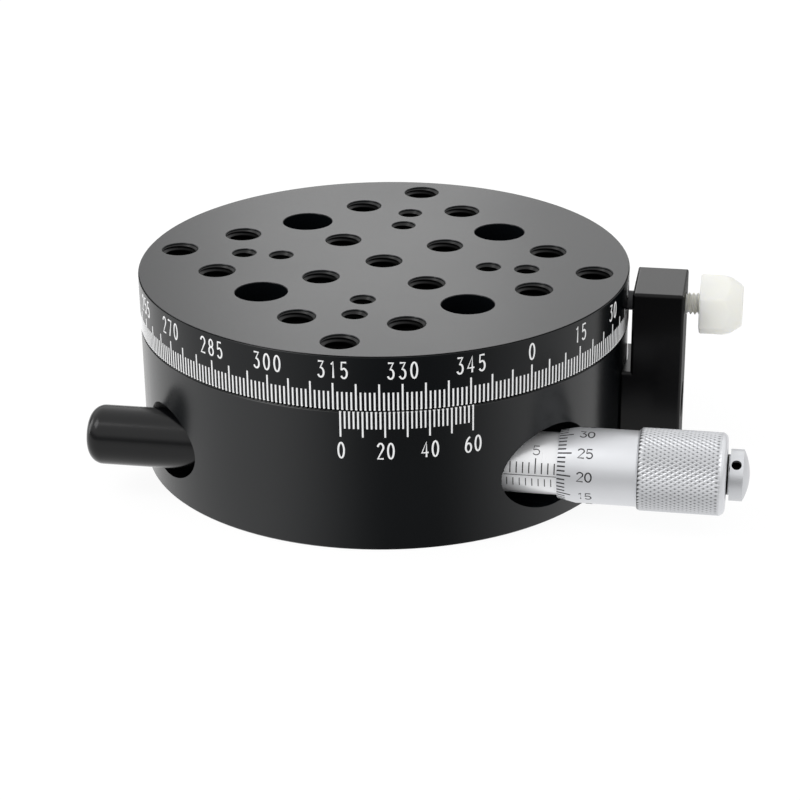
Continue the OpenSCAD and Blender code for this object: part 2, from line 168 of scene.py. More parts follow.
def copy_at(obj: Object, motion: Matrix) -> Object:
    """Makes a copy with its own mesh, moved from the original's place.

    Args:
        obj: The original.
        motion: The motion from it to the copy.

    Returns:
        The copy.
    """
    take(obj)
    bpy.ops.object.duplicate(linked=False)
    return moved(bpy.context.active_object, motion)


def join(name: str, objects: Sequence[Object]) -> Object:
    """Joins objects into one.

    Args:
        name: The name of the whole.
        objects: One object or more.

    Returns:
        The whole.
    """
    take(*objects)
    if len(objects) > 1:
        bpy.ops.object.join()
    return settle(bpy.context.active_object, name)


def modify(obj: Object, kind: str, **settings: object) -> Object:
    """Adds one modifier and applies it.

    Args:
        obj: The object.
        kind: Blender's name of the modifier's type.
        **settings: The modifier's properties.

    Returns:
        The same object.
    """
    take(obj)
    bpy.ops.object.modifier_add(type=kind)
    modifier = obj.modifiers[-1]
    for key, value in settings.items():
        setattr(modifier, key, value)
    bpy.ops.object.modifier_apply(modifier=modifier.name)
    return obj


def carve(obj: Object, tool: Object, operation: str = "DIFFERENCE") -> None:
    """Applies an exact boolean with a tool, and deletes the tool."""
    modify(obj, "BOOLEAN", operation=operation, solver="EXACT", object=tool)
    bpy.data.objects.remove(tool)


def repeat(obj: Object, count: int, motion: Matrix) -> Object:
    """Repeats a mesh by an applied Array modifier.

    Args:
        obj: The object.
        count: How many there are in the end.
        motion: The motion from each copy to the next.

    Returns:
        The same object.
    """
    bpy.ops.object.empty_add()
    helper = bpy.context.active_object
    helper.matrix_world = motion
    bpy.context.view_layer.update()
    modify(obj, "ARRAY", count=count, use_relative_offset=False, use_object_offset=True,
           offset_object=helper)
    bpy.data.objects.remove(helper)
    return obj


def turn_about(point: Vector, axis: str, angle: float) -> Matrix:
    """The motion that turns by an angle about a line through a point, along X, Y or Z."""
    there = Matrix.Translation(point)
    return there @ Matrix.Rotation(angle, 4, axis) @ there.inverted()


def chain(points: Sequence[Vector], closed: bool = False) -> Object:
    """Draws a chain of edges by extruding one vertex from point to point.

    Args:
        points: The corners in order.
        closed: Joins the last point to the first.

    Returns:
        A mesh of edges.
    """
    obj = start(bpy.ops.mesh.primitive_plane_add, size=MM, location=points[0])
    stops = [*points, points[0]] if closed else points
    with editing(obj):
        bpy.ops.mesh.merge(type="CENTER")
        for before, after in zip(stops, stops[1:]):
            bpy.ops.mesh.extrude_vertices_move(TRANSFORM_OT_translate={"value": after - before})
        bpy.ops.mesh.select_all(action="SELECT")
        bpy.ops.mesh.remove_doubles(threshold=WELD)
    return settle(obj)


def bead(points: Sequence[Vector], radius: float, closed: bool = False) -> Object:
    """A round bead along a chain of points, closed at both ends.

    Args:
        points: The middle line.
        radius: The bead's radius.
        closed: Makes the middle line a loop.

    Returns:
        The bead as a mesh.
    """
    obj = chain(points, closed)
    take(obj)
    bpy.ops.object.convert(target="CURVE")
    obj.data.bevel_depth = radius
    obj.data.bevel_resolution = 2
    obj.data.use_fill_caps = True
    bpy.ops.object.convert(target="MESH")
    return obj


def turned(profile: Sequence[Vector], centre: Vector, steps: int) -> Object:
    """A turned piece: a closed profile spun once round a line along X.

    Args:
        profile: The corners of the half section, in order, in a plane through the axis.
        centre: A point on the axis.
        steps: The number of steps round.

    Returns:
        A closed mesh with its faces outwards.
    """
    obj = chain(profile, closed=True)
    with editing(obj):
        bpy.ops.mesh.spin(steps=steps, angle=FULL_TURN, center=centre, axis=(1, 0, 0))
        bpy.ops.mesh.select_all(action="SELECT")
        bpy.ops.mesh.remove_doubles(threshold=WELD)
        bpy.ops.mesh.normals_make_consistent(inside=False)
    return obj


def smooth(obj: Object, degrees: float = 30) -> Object:
    """Shades the surface smooth, and keeps its edges above an angle sharp.

    Args:
        obj: The object.
        degrees: The angle.

    Returns:
        The same object.
    """
    take(obj)
    bpy.ops.object.shade_smooth_by_angle(angle=math.radians(degrees))
    return obj


@dataclass(frozen=True)
class Thread:
    """A screw thread with flat crests and roots, cut by screwing one tooth's outline.

    Attributes:
        outer: Radius over the crests.
        inner: Radius of the roots.
        pitch: Travel in one turn.
        crest: Width of a crest, as a share of the pitch.
        flank: Width of a flank, as a share of the pitch.
        steps: Steps in one turn.
    """

    outer: float
    inner: float
    pitch: float
    crest: float = 0.15
    flank: float = 0.32
    steps: int = 28

    def rod(self, length: float) -> Object:
        """A threaded rod that stands on the frame's origin, along +Z.

        Args:
            length: From end to end.

        Returns:
            A closed mesh.
        """
        outline = [
            (self.outer, 0),
            (self.outer, self.crest),
            (self.inner, self.crest + self.flank),
            (self.inner, 1 - self.flank),
            (self.outer, 1),
        ]
        obj = chain([Vector((r, 0, (z - 1.5) * self.pitch)) for r, z in outline])
        modify(obj, "SCREW", axis="Z", angle=FULL_TURN, screw_offset=self.pitch,
               iterations=math.ceil(length / self.pitch) + 2, steps=self.steps,
               render_steps=self.steps)
        with editing(obj):
            bpy.ops.mesh.remove_doubles(threshold=2 * WELD)
            for height, up in ((0.0, -1), (length, 1)):
                bpy.ops.mesh.select_all(action="SELECT")
                bpy.ops.mesh.bisect(plane_co=(0, 0, height), plane_no=(0, 0, up),
                                    use_fill=True, clear_outer=True, threshold=WELD)
            bpy.ops.mesh.select_all(action="SELECT")
            bpy.ops.mesh.normals_make_consistent(inside=False)
        return obj


# ---------------------------------------------------------------------------------------------
# Finishes
# ---------------------------------------------------------------------------------------------


class Value:
    """A socket of a material's nodes. Python's operators on it add Math nodes."""

    def __init__(self, graph: "Graph", socket: Socket) -> None:
        """Wraps an output socket of a graph."""
        self.graph = graph
        self.socket = socket

    def __add__(self, other: "Value | float") -> "Value":
        """self + other"""
        return self.graph.maths("ADD", self, other)

    def __mul__(self, other: "Value | float") -> "Value":
        """self * other"""
        return self.graph.maths("MULTIPLY", self, other)

    def __sub__(self, other: "Value | float") -> "Value":
        """self - other"""
        return self.graph.maths("SUBTRACT", self, other)

    def __rsub__(self, other: "Value | float") -> "Value":
        """other - self"""
        return self.graph.maths("SUBTRACT", other, self)

    __radd__ = __add__
    __rmul__ = __mul__

    def clamped(self) -> "Value":
        """self held between 0 and 1."""
        return self.graph.maths("MAXIMUM", self.graph.maths("MINIMUM", self, 1.0), 0.0)

    def past(self, limit: float, fade: float) -> "Value":
        """0 up to a limit and 1 from a fade's width beyond it."""
        return ((self - limit) * (1 / fade)).clamped()

    def before(self, limit: float, fade: float) -> "Value":
        """0 from a limit on and 1 up to a fade's width before it."""
        return ((limit - self) * (1 / fade)).clamped()


class Graph:
    """The nodes of one material, or of the world."""

    def __init__(self, name: str, world: bool = False) -> None:
        """Starts a material or a world with only its output node.

        Args:
            name: Its name.
            world: Makes a world.
        """
        self.holder = (bpy.data.worlds if world else bpy.data.materials).new(name)
        self.holder.use_nodes = True
        self.tree = self.holder.node_tree
        self.tree.nodes.clear()
        self.output = self.node("OutputWorld" if world else "OutputMaterial")

    def node(self, kind: str, settings: dict | None = None, **sockets: object) -> Node:
        """Adds a node.

        Args:
            kind: Blender's name of the node's type, without ShaderNode.
            settings: The node's own properties, which are set first.
            **sockets: Values or links of its input sockets, with _ for a space.

        Returns:
            The node.
        """
        node = self.tree.nodes.new("ShaderNode" + kind)
        for key, value in (settings or {}).items():
            setattr(node, key, value)
        for key, value in sockets.items():
            self.feed(node.inputs[key.replace("_", " ")], value)
        return node

    def feed(self, socket: Socket, value: object) -> None:
        """Links a value to a socket, or sets it there if it is a constant.

        Args:
            socket: The input socket.
            value: A value, an output socket or a constant.
        """
        source = value.socket if isinstance(value, Value) else value
        if isinstance(source, Socket):
            self.tree.links.new(source, socket)
        else:
            socket.default_value = source

    def maths(self, operation: str, first: Value | float, second: Value | float) -> Value:
        """One Math node on two values.

        Args:
            operation: Blender's name of the operation.
            first: The first value.
            second: The second value.

        Returns:
            The result.
        """
        node = self.node("Math", {"operation": operation})
        self.feed(node.inputs[0], first)
        self.feed(node.inputs[1], second)
        return Value(self, node.outputs[0])

    def place(self, scale: Vector, centre: Vector = Vector()) -> Socket:
        """The place in the frame, in metres.

        Args:
            scale: Stretches it along each axis.
            centre: Where it is counted from.

        Returns:
            The vector's socket.
        """
        shift = Vector([-c * s for c, s in zip(centre, scale)])
        spot = self.node("TexCoord").outputs["Object"]
        return self.node("Mapping", Vector=spot, Location=shift, Scale=scale).outputs["Vector"]

    def along(self, axis: str, centre: Vector = Vector()) -> Value:
        """How far along X, Y or Z the place lies from a centre."""
        spot = self.node("SeparateXYZ", Vector=self.place(even(1), centre))
        return Value(self, spot.outputs[axis])

    def reach(self, scale: Vector, centre: Vector) -> Value:
        """The distance of the place from a centre.

        Args:
            scale: 1 along each axis that counts, and 0 along the others.
            centre: Where it is counted from.

        Returns:
            The distance in metres.
        """
        node = self.node("VectorMath", {"operation": "LENGTH"})
        self.feed(node.inputs[0], self.place(scale, centre))
        return Value(self, node.outputs["Value"])

    def noise(self, scale: Vector, detail: float = 3.0) -> Value:
        """Noise from 0 to 1, with its cells as small as the scale is large."""
        node = self.node("TexNoise", Vector=self.place(scale), Scale=1.0, Detail=detail)
        return Value(self, node.outputs["Fac"])

    def blend(self, amount: Value, low: Colour, high: Colour | Socket) -> Socket:
        """A colour between two.

        Args:
            amount: How much of the second, from 0 to 1.
            low: The first colour.
            high: The second colour, or a link to one.

        Returns:
            The colour's socket.
        """
        node = self.node("Mix", {"data_type": "RGBA"})
        self.feed(node.inputs[0], amount)
        self.feed(node.inputs[6], (*low, 1))
        self.feed(node.inputs[7], high if isinstance(high, Socket) else (*high, 1))
        return node.outputs[2]

    def mix(self, share: Value, first: Node, second: Node) -> Node:
        """A shader between two.

        Args:
            share: How much of the second, from 0 to 1.
            first: The first shader.
            second: The second shader.

        Returns:
            The Mix Shader node.
        """
        node = self.node("MixShader")
        for socket, value in zip(node.inputs, (share, first.outputs[0], second.outputs[0])):
            self.feed(socket, value)
        return node

    def bump(self, height: Value, depth: float, strength: float) -> Socket:
        """A normal from a height map whose full range is a depth in metres."""
        node = self.node("Bump", Height=height, Distance=depth, Strength=strength)
        return node.outputs["Normal"]

    def rays(self, *kinds: str) -> Value:
        """1 for a ray of any of these kinds, as Light Path names them."""
        path = self.node("LightPath")
        return sum((Value(self, path.outputs[f"Is {kind} Ray"]) for kind in kinds), 0.0).clamped()

    def surface(self, shader: Node) -> Material | bpy.types.World:
        """Connects the final shader and returns the material or the world."""
        self.feed(self.output.inputs["Surface"], shader.outputs[0])
        return self.holder


def even(scale: float) -> Vector:
    """The same scale along X, Y and Z."""
    return Vector((scale, scale, scale))


def shaded(colour: Colour, factor: float) -> Colour:
    """A colour made darker or paler by a factor."""
    return tuple(min(1.0, factor * c) for c in colour)


def unevenness(amounts: Sequence[float], *noises: Value) -> Value:
    """The sum of noises centred on 0, each as strong as its amount."""
    return sum((amount * (noise - 0.5) for amount, noise in zip(amounts, noises)), 0.0)


@dataclass(frozen=True)
class Zone:
    """A part of a CAD node where a matt near-black is mixed into the coating as painted shade.

    Attributes:
        node: The CAD node.
        size: Width or depth that marks the zone.
        share: How strong the painted shade is, up to 1.
        fade: Distance over which it fades in.
    """

    node: str
    size: float = 0.16 * MM
    share: float = 1.0
    fade: float = 0.04 * MM

    def mask(self, graph: Graph) -> Value:
        """The zone's strength from 0 to 1."""
        raise NotImplementedError


@dataclass(frozen=True)
class RoundEdge(Zone):
    """Painted shade along the upper outer edge of a turned body, as wide as the size."""

    def mask(self, graph: Graph) -> Value:
        """The share, near the largest radius and the highest point at once.

        Args:
            graph: The coating's nodes.

        Returns:
            The zone's strength.
        """
        low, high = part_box(self.node)
        radius = graph.reach(Vector((1, 1, 0)), Vector())
        outer = radius.past((high.x - low.x) / 2 - self.size, self.fade)
        return outer * graph.along("Z").past(high.z - self.size, self.fade) * self.share


@dataclass(frozen=True)
class Below(Zone):
    """Painted shade on what lies deeper than the size below the top of a body."""

    def mask(self, graph: Graph) -> Value:
        """The share, below that depth."""
        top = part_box(self.node)[1].z
        return graph.along("Z").before(top - self.size, self.fade) * self.share


@dataclass(frozen=True)
class OuterFace(Zone):
    """Painted shade on the face of a body that points along +X."""

    def mask(self, graph: Graph) -> Value:
        """The share, on that face."""
        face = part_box(self.node)[1].x
        return graph.along("X").past(face - self.size, self.fade) * self.share


@dataclass(frozen=True)
class Anodised:
    """Dyed anodic coating on blasted aluminium: a dark satin with a fine even grain.

    Attributes:
        name: The material's name.
        colour: The dyed colour.
        roughness: The mean roughness.
        specular: The strength of its reflection, 0.5 for glass.
        grain: Cells of grain in a metre.
        depth: Depth of the grain.
        matt: Where painted shade is mixed in as a matt near-black, if anywhere.
        matt_colour: The colour of that painted shade.
        cloud: Cells of the dye's slow drift in a metre.
        paler: How much paler the dye gets in its drift.
        uneven: How far the drift and the grain change the roughness.
    """

    name: str
    colour: Colour = (0.0026, 0.0034, 0.0042)
    roughness: float = 0.23
    specular: float = 0.5
    grain: float = 5200
    depth: float = 0.004 * MM
    matt: Zone | None = None
    matt_colour: Colour = (0.002, 0.002, 0.002)
    cloud: float = 45
    paler: float = 1.5
    uneven: tuple[float, float] = (0.05, 0.06)

    def material(self) -> Material:
        """Builds the finish.

        Returns:
            The material.
        """
        graph = Graph(self.name)
        grain = graph.noise(even(self.grain), 2)
        drift = graph.noise(even(self.cloud))
        shader = graph.node(
            "BsdfPrincipled",
            Base_Color=graph.blend(drift, self.colour, shaded(self.colour, self.paler)),
            Roughness=self.roughness + unevenness(self.uneven, drift, grain),
            Specular_IOR_Level=self.specular,
            Normal=graph.bump(grain, self.depth, 0.5),
        )
        # Painted shade: in the zone a matt near-black diffuse takes the place of the satin sheen.
        if self.matt:
            matt = graph.node("BsdfDiffuse", Color=(*self.matt_colour, 1))
            shader = graph.mix(self.matt.mask(graph), shader, matt)
        return graph.surface(shader)


class Lay(Enum):
    """The way of fine tool marks: how close they lie along X, Y and Z."""

    ROUND_X = (1, 0.02, 0.02)
    ROUND_Z = (0.02, 0.02, 1)
    EVEN = (1 / 3, 1 / 3, 1 / 3)


@dataclass(frozen=True)
class Metal:
    """Bare or plated metal with fine tool marks.

    Attributes:
        name: The material's name.
        colour: The metal's colour.
        roughness: The mean roughness.
        lay: The way of the tool marks.
        metallic: How metallic its sheen is, below 1 for a blasted plating.
        marks: Tool marks in a metre.
        depth: Depth of the marks.
        cloud: Cells of the colour's slow drift in a metre.
        darker: How much darker the colour gets in its drift.
        uneven: How far the marks and the drift change the roughness.
        dirt: The colour of painted shade in pits, holes and gaps.
    """

    name: str
    colour: Colour
    roughness: float = 0.3
    lay: Lay = Lay.EVEN
    metallic: float = 1.0
    marks: float = 9000
    depth: float = 0.002 * MM
    cloud: float = 120
    darker: float = 0.9
    uneven: tuple[float, float] = (0.1, 0.05)
    dirt: Colour = (0.004, 0.004, 0.004)

    def clean(self, graph: Graph) -> Value | None:
        """1 where the metal has no painted shade and 0 where the shade is painted in full, None if
        nothing is shaded.
        """
        return None

    def material(self) -> Material:
        """Builds the finish.

        Returns:
            The material.
        """
        graph = Graph(self.name)
        marks = graph.noise(self.marks * Vector(self.lay.value), 2)
        drift = graph.noise(even(self.cloud))
        colour = graph.blend(drift, shaded(self.colour, self.darker), self.colour)
        # Painted shade: where this mask is below 1, a near-black is blended into the base colour.
        clean = self.clean(graph)
        return graph.surface(graph.node(
            "BsdfPrincipled",
            Base_Color=graph.blend(clean, self.dirt, colour) if clean else colour,
            Metallic=self.metallic,
            Roughness=self.roughness + unevenness(self.uneven, marks, drift),
            Normal=graph.bump(marks, self.depth, 0.4),
        ))


@dataclass(frozen=True)
class KnurledMetal(Metal):
    """Metal with painted shade at the bottom of the knurl's pits.

    Attributes:
        node: The CAD node that gives the axis and the radius over the knurl.
        pit: Depth of the knurl.
        end: Smooth rounding at the outer end.
        full: Depth at which the painted shade is full, as a share of the pit.
        contrast: How fast the painted shade fades towards the tips.
        tips: How free of painted shade the tips are, up to 1.
        drum: Depth at which the drum begins, as a share of the pit.
        edge: Distance over which the drum and the end come free of the painted shade.
    """

    node: str = "thimble"
    pit: float = 0.17 * MM
    end: float = 0.9 * MM
    full: float = 1.04
    contrast: float = 1.7
    tips: float = 0.88
    drum: float = 1.05
    edge: float = 0.02 * MM

    def clean(self, graph: Graph) -> Value:
        """Painted shade in the pits, with none on the drum or on the outer end.

        Args:
            graph: The metal's nodes.

        Returns:
            1 where there is no painted shade and 0 where it is full.
        """
        low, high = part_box(self.node)
        crest = (high.z - low.z) / 2
        radius = graph.reach(Vector((0, 1, 1)), (low + high) / 2)
        depth = (crest - radius) * (1 / self.pit)
        on_drum = radius.before(crest - self.pit * self.drum, self.edge)
        on_end = graph.along("X").past(high.x - self.end, self.edge)
        # Painted shade: darkest at the bottom of the knurl's pits, none on the drum or on the outer
        # end.
        return ((self.full - depth) * self.contrast).clamped() * self.tips + on_drum + on_end


@dataclass(frozen=True)
class CapMetal(Metal):
    """Metal of the spanner cap, with painted shade in the pin's hole and round the neck.

    Attributes:
        node: The CAD node of the cap.
        length: From the face of the cap to its outer end.
        clean_neck: Part of the neck, next to the cap's face, that gets no painted shade.
        hole: Place of the hole along the cap, from the outer end.
        turn: Turn of the hole about the axis, from +Z towards -Y.
        hole_depth: Distance of the painted shade's middle from the axis.
        spread: Radius of the painted shade.
        edge: Distance over which the painted shade fades.
    """

    node: str = "thimble_cap"
    length: float = 3.1 * MM
    clean_neck: float = 0.22 * MM
    hole: float = 2.1 * MM
    turn: float = math.radians(48)
    hole_depth: float = 2.5 * MM
    spread: float = 1.3 * MM
    edge: float = 0.05 * MM

    def clean(self, graph: Graph) -> Value:
        """Painted shade in the hole, and on the neck behind the cap's face.

        Args:
            graph: The metal's nodes.

        Returns:
            1 where there is no painted shade and 0 where it is full.
        """
        low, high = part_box(self.node)
        middle = (low + high) / 2
        aim = Vector((0, -math.sin(self.turn), math.cos(self.turn)))
        centre = Vector((high.x - self.hole, middle.y, middle.z)) + self.hole_depth * aim
        outside = graph.reach(even(1), centre).past(self.spread, self.edge)
        face = high.x - self.length - self.clean_neck
        # Painted shade in the pin's hole and on the neck in the gap behind the cap's face.
        return outside * graph.along("X").past(face, self.edge)


@dataclass(frozen=True)
class Plastic:
    """Moulded plastic with a faint skin and, for natural nylon, light that passes into it.

    Attributes:
        name: The material's name.
        colour: The colour.
        roughness: The mean roughness.
        light_depth: How far light spreads inside, 0 for an opaque plastic.
        specular: The strength of its reflection, 0.5 for glass.
        spread: How much of the light spreads inside.
        tint: How far red, green and blue spread, as shares.
        grain: Cells of the skin's grain in a metre.
        depth: Depth of that grain.
        cloud: Cells of the colour's slow drift in a metre.
        paler: How much paler the colour gets in its drift.
        uneven: How far the grain changes the roughness.
    """

    name: str
    colour: Colour
    roughness: float = 0.45
    light_depth: float = 0.0
    specular: float = 0.5
    spread: float = 0.8
    tint: Colour = (1.0, 0.95, 0.75)
    grain: float = 900
    depth: float = 0.01 * MM
    cloud: float = 160
    paler: float = 1.06
    uneven: float = 0.1

    def material(self) -> Material:
        """Builds the finish.

        Returns:
            The material.
        """
        graph = Graph(self.name)
        skin = graph.noise(even(self.grain))
        drift = graph.noise(even(self.cloud), 2)
        inside = {}
        if self.light_depth:
            inside = {"Subsurface_Weight": self.spread, "Subsurface_Radius": self.tint,
                      "Subsurface_Scale": self.light_depth}
        return graph.surface(graph.node(
            "BsdfPrincipled",
            Base_Color=graph.blend(drift, self.colour, shaded(self.colour, self.paler)),
            Roughness=self.roughness + unevenness((self.uneven,), skin),
            Specular_IOR_Level=self.specular,
            Normal=graph.bump(skin, self.depth, 0.4),
            **inside,
        ))


@dataclass(frozen=True)
class Fill:
    """Paint rubbed into engraved lines.

    Attributes:
        name: The material's name.
        colour: The paint's colour.
        roughness: The mean roughness.
        grain: Cells of wear in a metre.
        darker: How much darker the paint is where it is worn.
        uneven: How far the wear changes the roughness.
    """

    name: str
    colour: Colour
    roughness: float = 0.5
    grain: float = 1400
    darker: float = 0.86
    uneven: float = 0.2

    def material(self) -> Material:
        """Builds the finish.

        Returns:
            The material.
        """
        graph = Graph(self.name)
        wear = graph.noise(even(self.grain))
        return graph.surface(graph.node(
            "BsdfPrincipled",
            Base_Color=graph.blend(wear, shaded(self.colour, self.darker), self.colour),
            Roughness=self.roughness + unevenness((self.uneven,), wear),
        ))


class Finish(Enum):
    """Every finish on the stage."""

    ANODISED = Anodised("black_anodised")
    # BASE, TABLE, DEEP_BLACK and THREAD carry painted shade: dark lines at the seam and the table's
    # top edge, a darkened outer face on the lock block, and dark threads deep in the holes.
    BASE = Anodised("base_anodised", specular=0.45, matt=RoundEdge("base"))
    TABLE = Anodised("table_anodised", specular=0.25, matt=RoundEdge("table"))
    DEEP_BLACK = Anodised("deep_black_anodised", (0.001, 0.001, 0.0012), 0.2, 0.18,
                          matt=OuterFace("lock_block", 0.1 * MM, 0.75))
    THREAD = Anodised("threaded_black", (0.001, 0.001, 0.0012), 0.35, 0.3,
                      matt=Below("table", 0.8 * MM, 0.9, 0.3 * MM))
    GLOSSY = Anodised("gloss_anodised", (0.0025, 0.0026, 0.003), 0.2, 0.29, 3000, 0.001 * MM)
    OXIDE = Metal("black_oxide", (0.035, 0.035, 0.037), 0.42)
    CHROME = Metal("satin_chrome", (0.79, 0.8, 0.825), 0.36, Lay.ROUND_X, 0.5)
    KNURL = KnurledMetal("knurled_chrome", (0.74, 0.75, 0.775), 0.4, Lay.ROUND_X, 0.5)
    # Painted light: the sleeve is a paler copy of the satin chrome, to offset the shade inside the
    # base's opening.
    SLEEVE = Metal("satin_sleeve_painted_light", (0.94, 0.945, 0.96), 0.3, Lay.ROUND_X, 0.4)
    CAP = CapMetal("satin_cap", (0.62, 0.63, 0.65), 0.4, Lay.ROUND_X, 0.8)
    STEEL = Metal("ground_steel", (0.56, 0.57, 0.59), 0.24, Lay.ROUND_X)
    RACE = Metal("bearing_race", (0.6, 0.61, 0.63), 0.16, Lay.ROUND_Z)
    ALUMINIUM = Metal("machined_aluminium", (0.78, 0.79, 0.81), 0.34, Lay.ROUND_Z)
    BRASS = Metal("turned_brass", (0.78, 0.58, 0.28), 0.3, Lay.ROUND_X)
    NYLON = Plastic("natural_nylon", (0.9, 0.885, 0.79), 0.42, 11 * MM, 0.25)
    ACETAL = Plastic("dark_acetal", (0.07, 0.07, 0.075), 0.5)
    WHITE = Fill("white_fill", (0.95, 0.955, 0.96))
    BLACK = Fill("black_fill", (0.015, 0.015, 0.017))


class Wardrobe:
    """Keeps one material for each finish and dresses the pieces in them."""

    CAD_FINISHES = {
        Finish.ANODISED: ("bottom_cover", "bearing_retainer"),
        Finish.BASE: ("base",),
        Finish.TABLE: ("table",),
        Finish.DEEP_BLACK: ("lock_block",),
        Finish.GLOSSY: ("plunger_housing",),
        Finish.OXIDE: ("cover_screws", "retainer_screws", "block_screw", "stem_set_screw"),
        Finish.RACE: ("bearing_outer_rings", "bearing_inner_rings", "bearing_balls"),
        Finish.STEEL: ("hub_washer", "hub_nut", "drive_anvils", "spindle", "plunger_pin",
                       "plunger_spring"),
        Finish.BRASS: ("bearing_cages", "plunger_bushing"),
        Finish.ALUMINIUM: ("drive_ring",),
        Finish.CHROME: ("micrometer_barrel", "adjusting_nut"),
        Finish.SLEEVE: ("micrometer_sleeve",),
        Finish.KNURL: ("thimble",),
        Finish.CAP: ("thimble_cap",),
        Finish.NYLON: ("lock_screw",),
        Finish.ACETAL: ("lock_pad",),
    }

    def __init__(self) -> None:
        """Builds every material once."""
        self.materials = {finish: finish.value.material() for finish in Finish}

    def dress(self, obj: Object, finish: Finish) -> None:
        """Gives a piece one finish all over."""
        obj.data.materials.clear()
        obj.data.materials.append(self.materials[finish])

    def dress_frame(self) -> None:
        """Gives every CAD node its finish."""
        for finish, nodes in self.CAD_FINISHES.items():
            for name in nodes:
                self.dress(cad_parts[name], finish)

    def hand_over(self, obj: Object, finish: Finish, body: str) -> Object:
        """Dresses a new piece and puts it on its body.

        Args:
            obj: The finished piece.
            finish: Its finish.
            body: The CAD body that it rides on.

        Returns:
            The same piece.
        """
        self.dress(obj, finish)
        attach(obj, body)
        LOG.info("%s: %d faces on %s", obj.name, len(obj.data.polygons), body)
        return obj


# ---------------------------------------------------------------------------------------------
# Engraving
# ---------------------------------------------------------------------------------------------

Points = tuple[tuple[float, float], ...]


@dataclass(frozen=True)
class Stroke:
    """One pass of the engraving cutter, in a box from -0.5 to 0.5 across and 0 to 1 up."""

    points: Points
    closed: bool = False


def arc(centre: tuple[float, float], radii: tuple[float, float], first: float, last: float,
        steps: int = 12) -> Points:
    """Points along an ellipse.

    Args:
        centre: Its centre.
        radii: Its radii across and up.
        first: The first angle in degrees.
        last: The last angle in degrees.
        steps: The number of steps between them.

    Returns:
        The points in order.
    """
    angles = [math.radians(first + (last - first) * i / steps) for i in range(steps + 1)]
    return tuple((centre[0] + radii[0] * math.cos(a), centre[1] + radii[1] * math.sin(a))
                 for a in angles)


def oval(centre: tuple[float, float], radii: tuple[float, float]) -> Stroke:
    """A closed ellipse."""
    return Stroke(arc(centre, radii, 90, 450, 16)[:-1], closed=True)


def half_turned(strokes: Sequence[Stroke]) -> list[Stroke]:
    """The same strokes turned upside down, as a 6 becomes a 9."""
    return [Stroke(tuple((-x, 1 - y) for x, y in s.points), s.closed) for s in strokes]


SIX = [Stroke(arc((0.5, 0.3), (1.0, 0.7), 103, 180, 7)), oval((0, 0.29), (0.5, 0.29))]
DIGITS = {
    "0": [oval((0, 0.5), (0.5, 0.5))],
    "1": [Stroke(((-0.16, 0.84), (0.16, 1), (0.16, 0)))],
    "2": [Stroke((*arc((0, 0.74), (0.48, 0.26), 170, -22), (-0.5, 0), (0.5, 0)))],
    "3": [Stroke(((-0.42, 1), (0.44, 1), (-0.06, 0.6), *arc((0, 0.3), (0.5, 0.3), 84, -155)))],
    "4": [Stroke(((0.2, 0), (0.2, 1), (-0.6, 0.29), (0.55, 0.29)))],
    "5": [Stroke(((0.42, 1), (-0.36, 1), (-0.42, 0.55),
                  *arc((0, 0.31), (0.5, 0.31), 128, -150)))],
    "6": SIX,
    "7": [Stroke(((-0.48, 1), (0.5, 1), (-0.12, 0)))],
    "8": [oval((0, 0.76), (0.4, 0.24)), oval((0, 0.265), (0.5, 0.265))],
    "9": half_turned(SIX),
}


class Axis(Enum):
    """How an engraved cylinder lies."""

    UPRIGHT = "Z"
    LEVEL = "X"


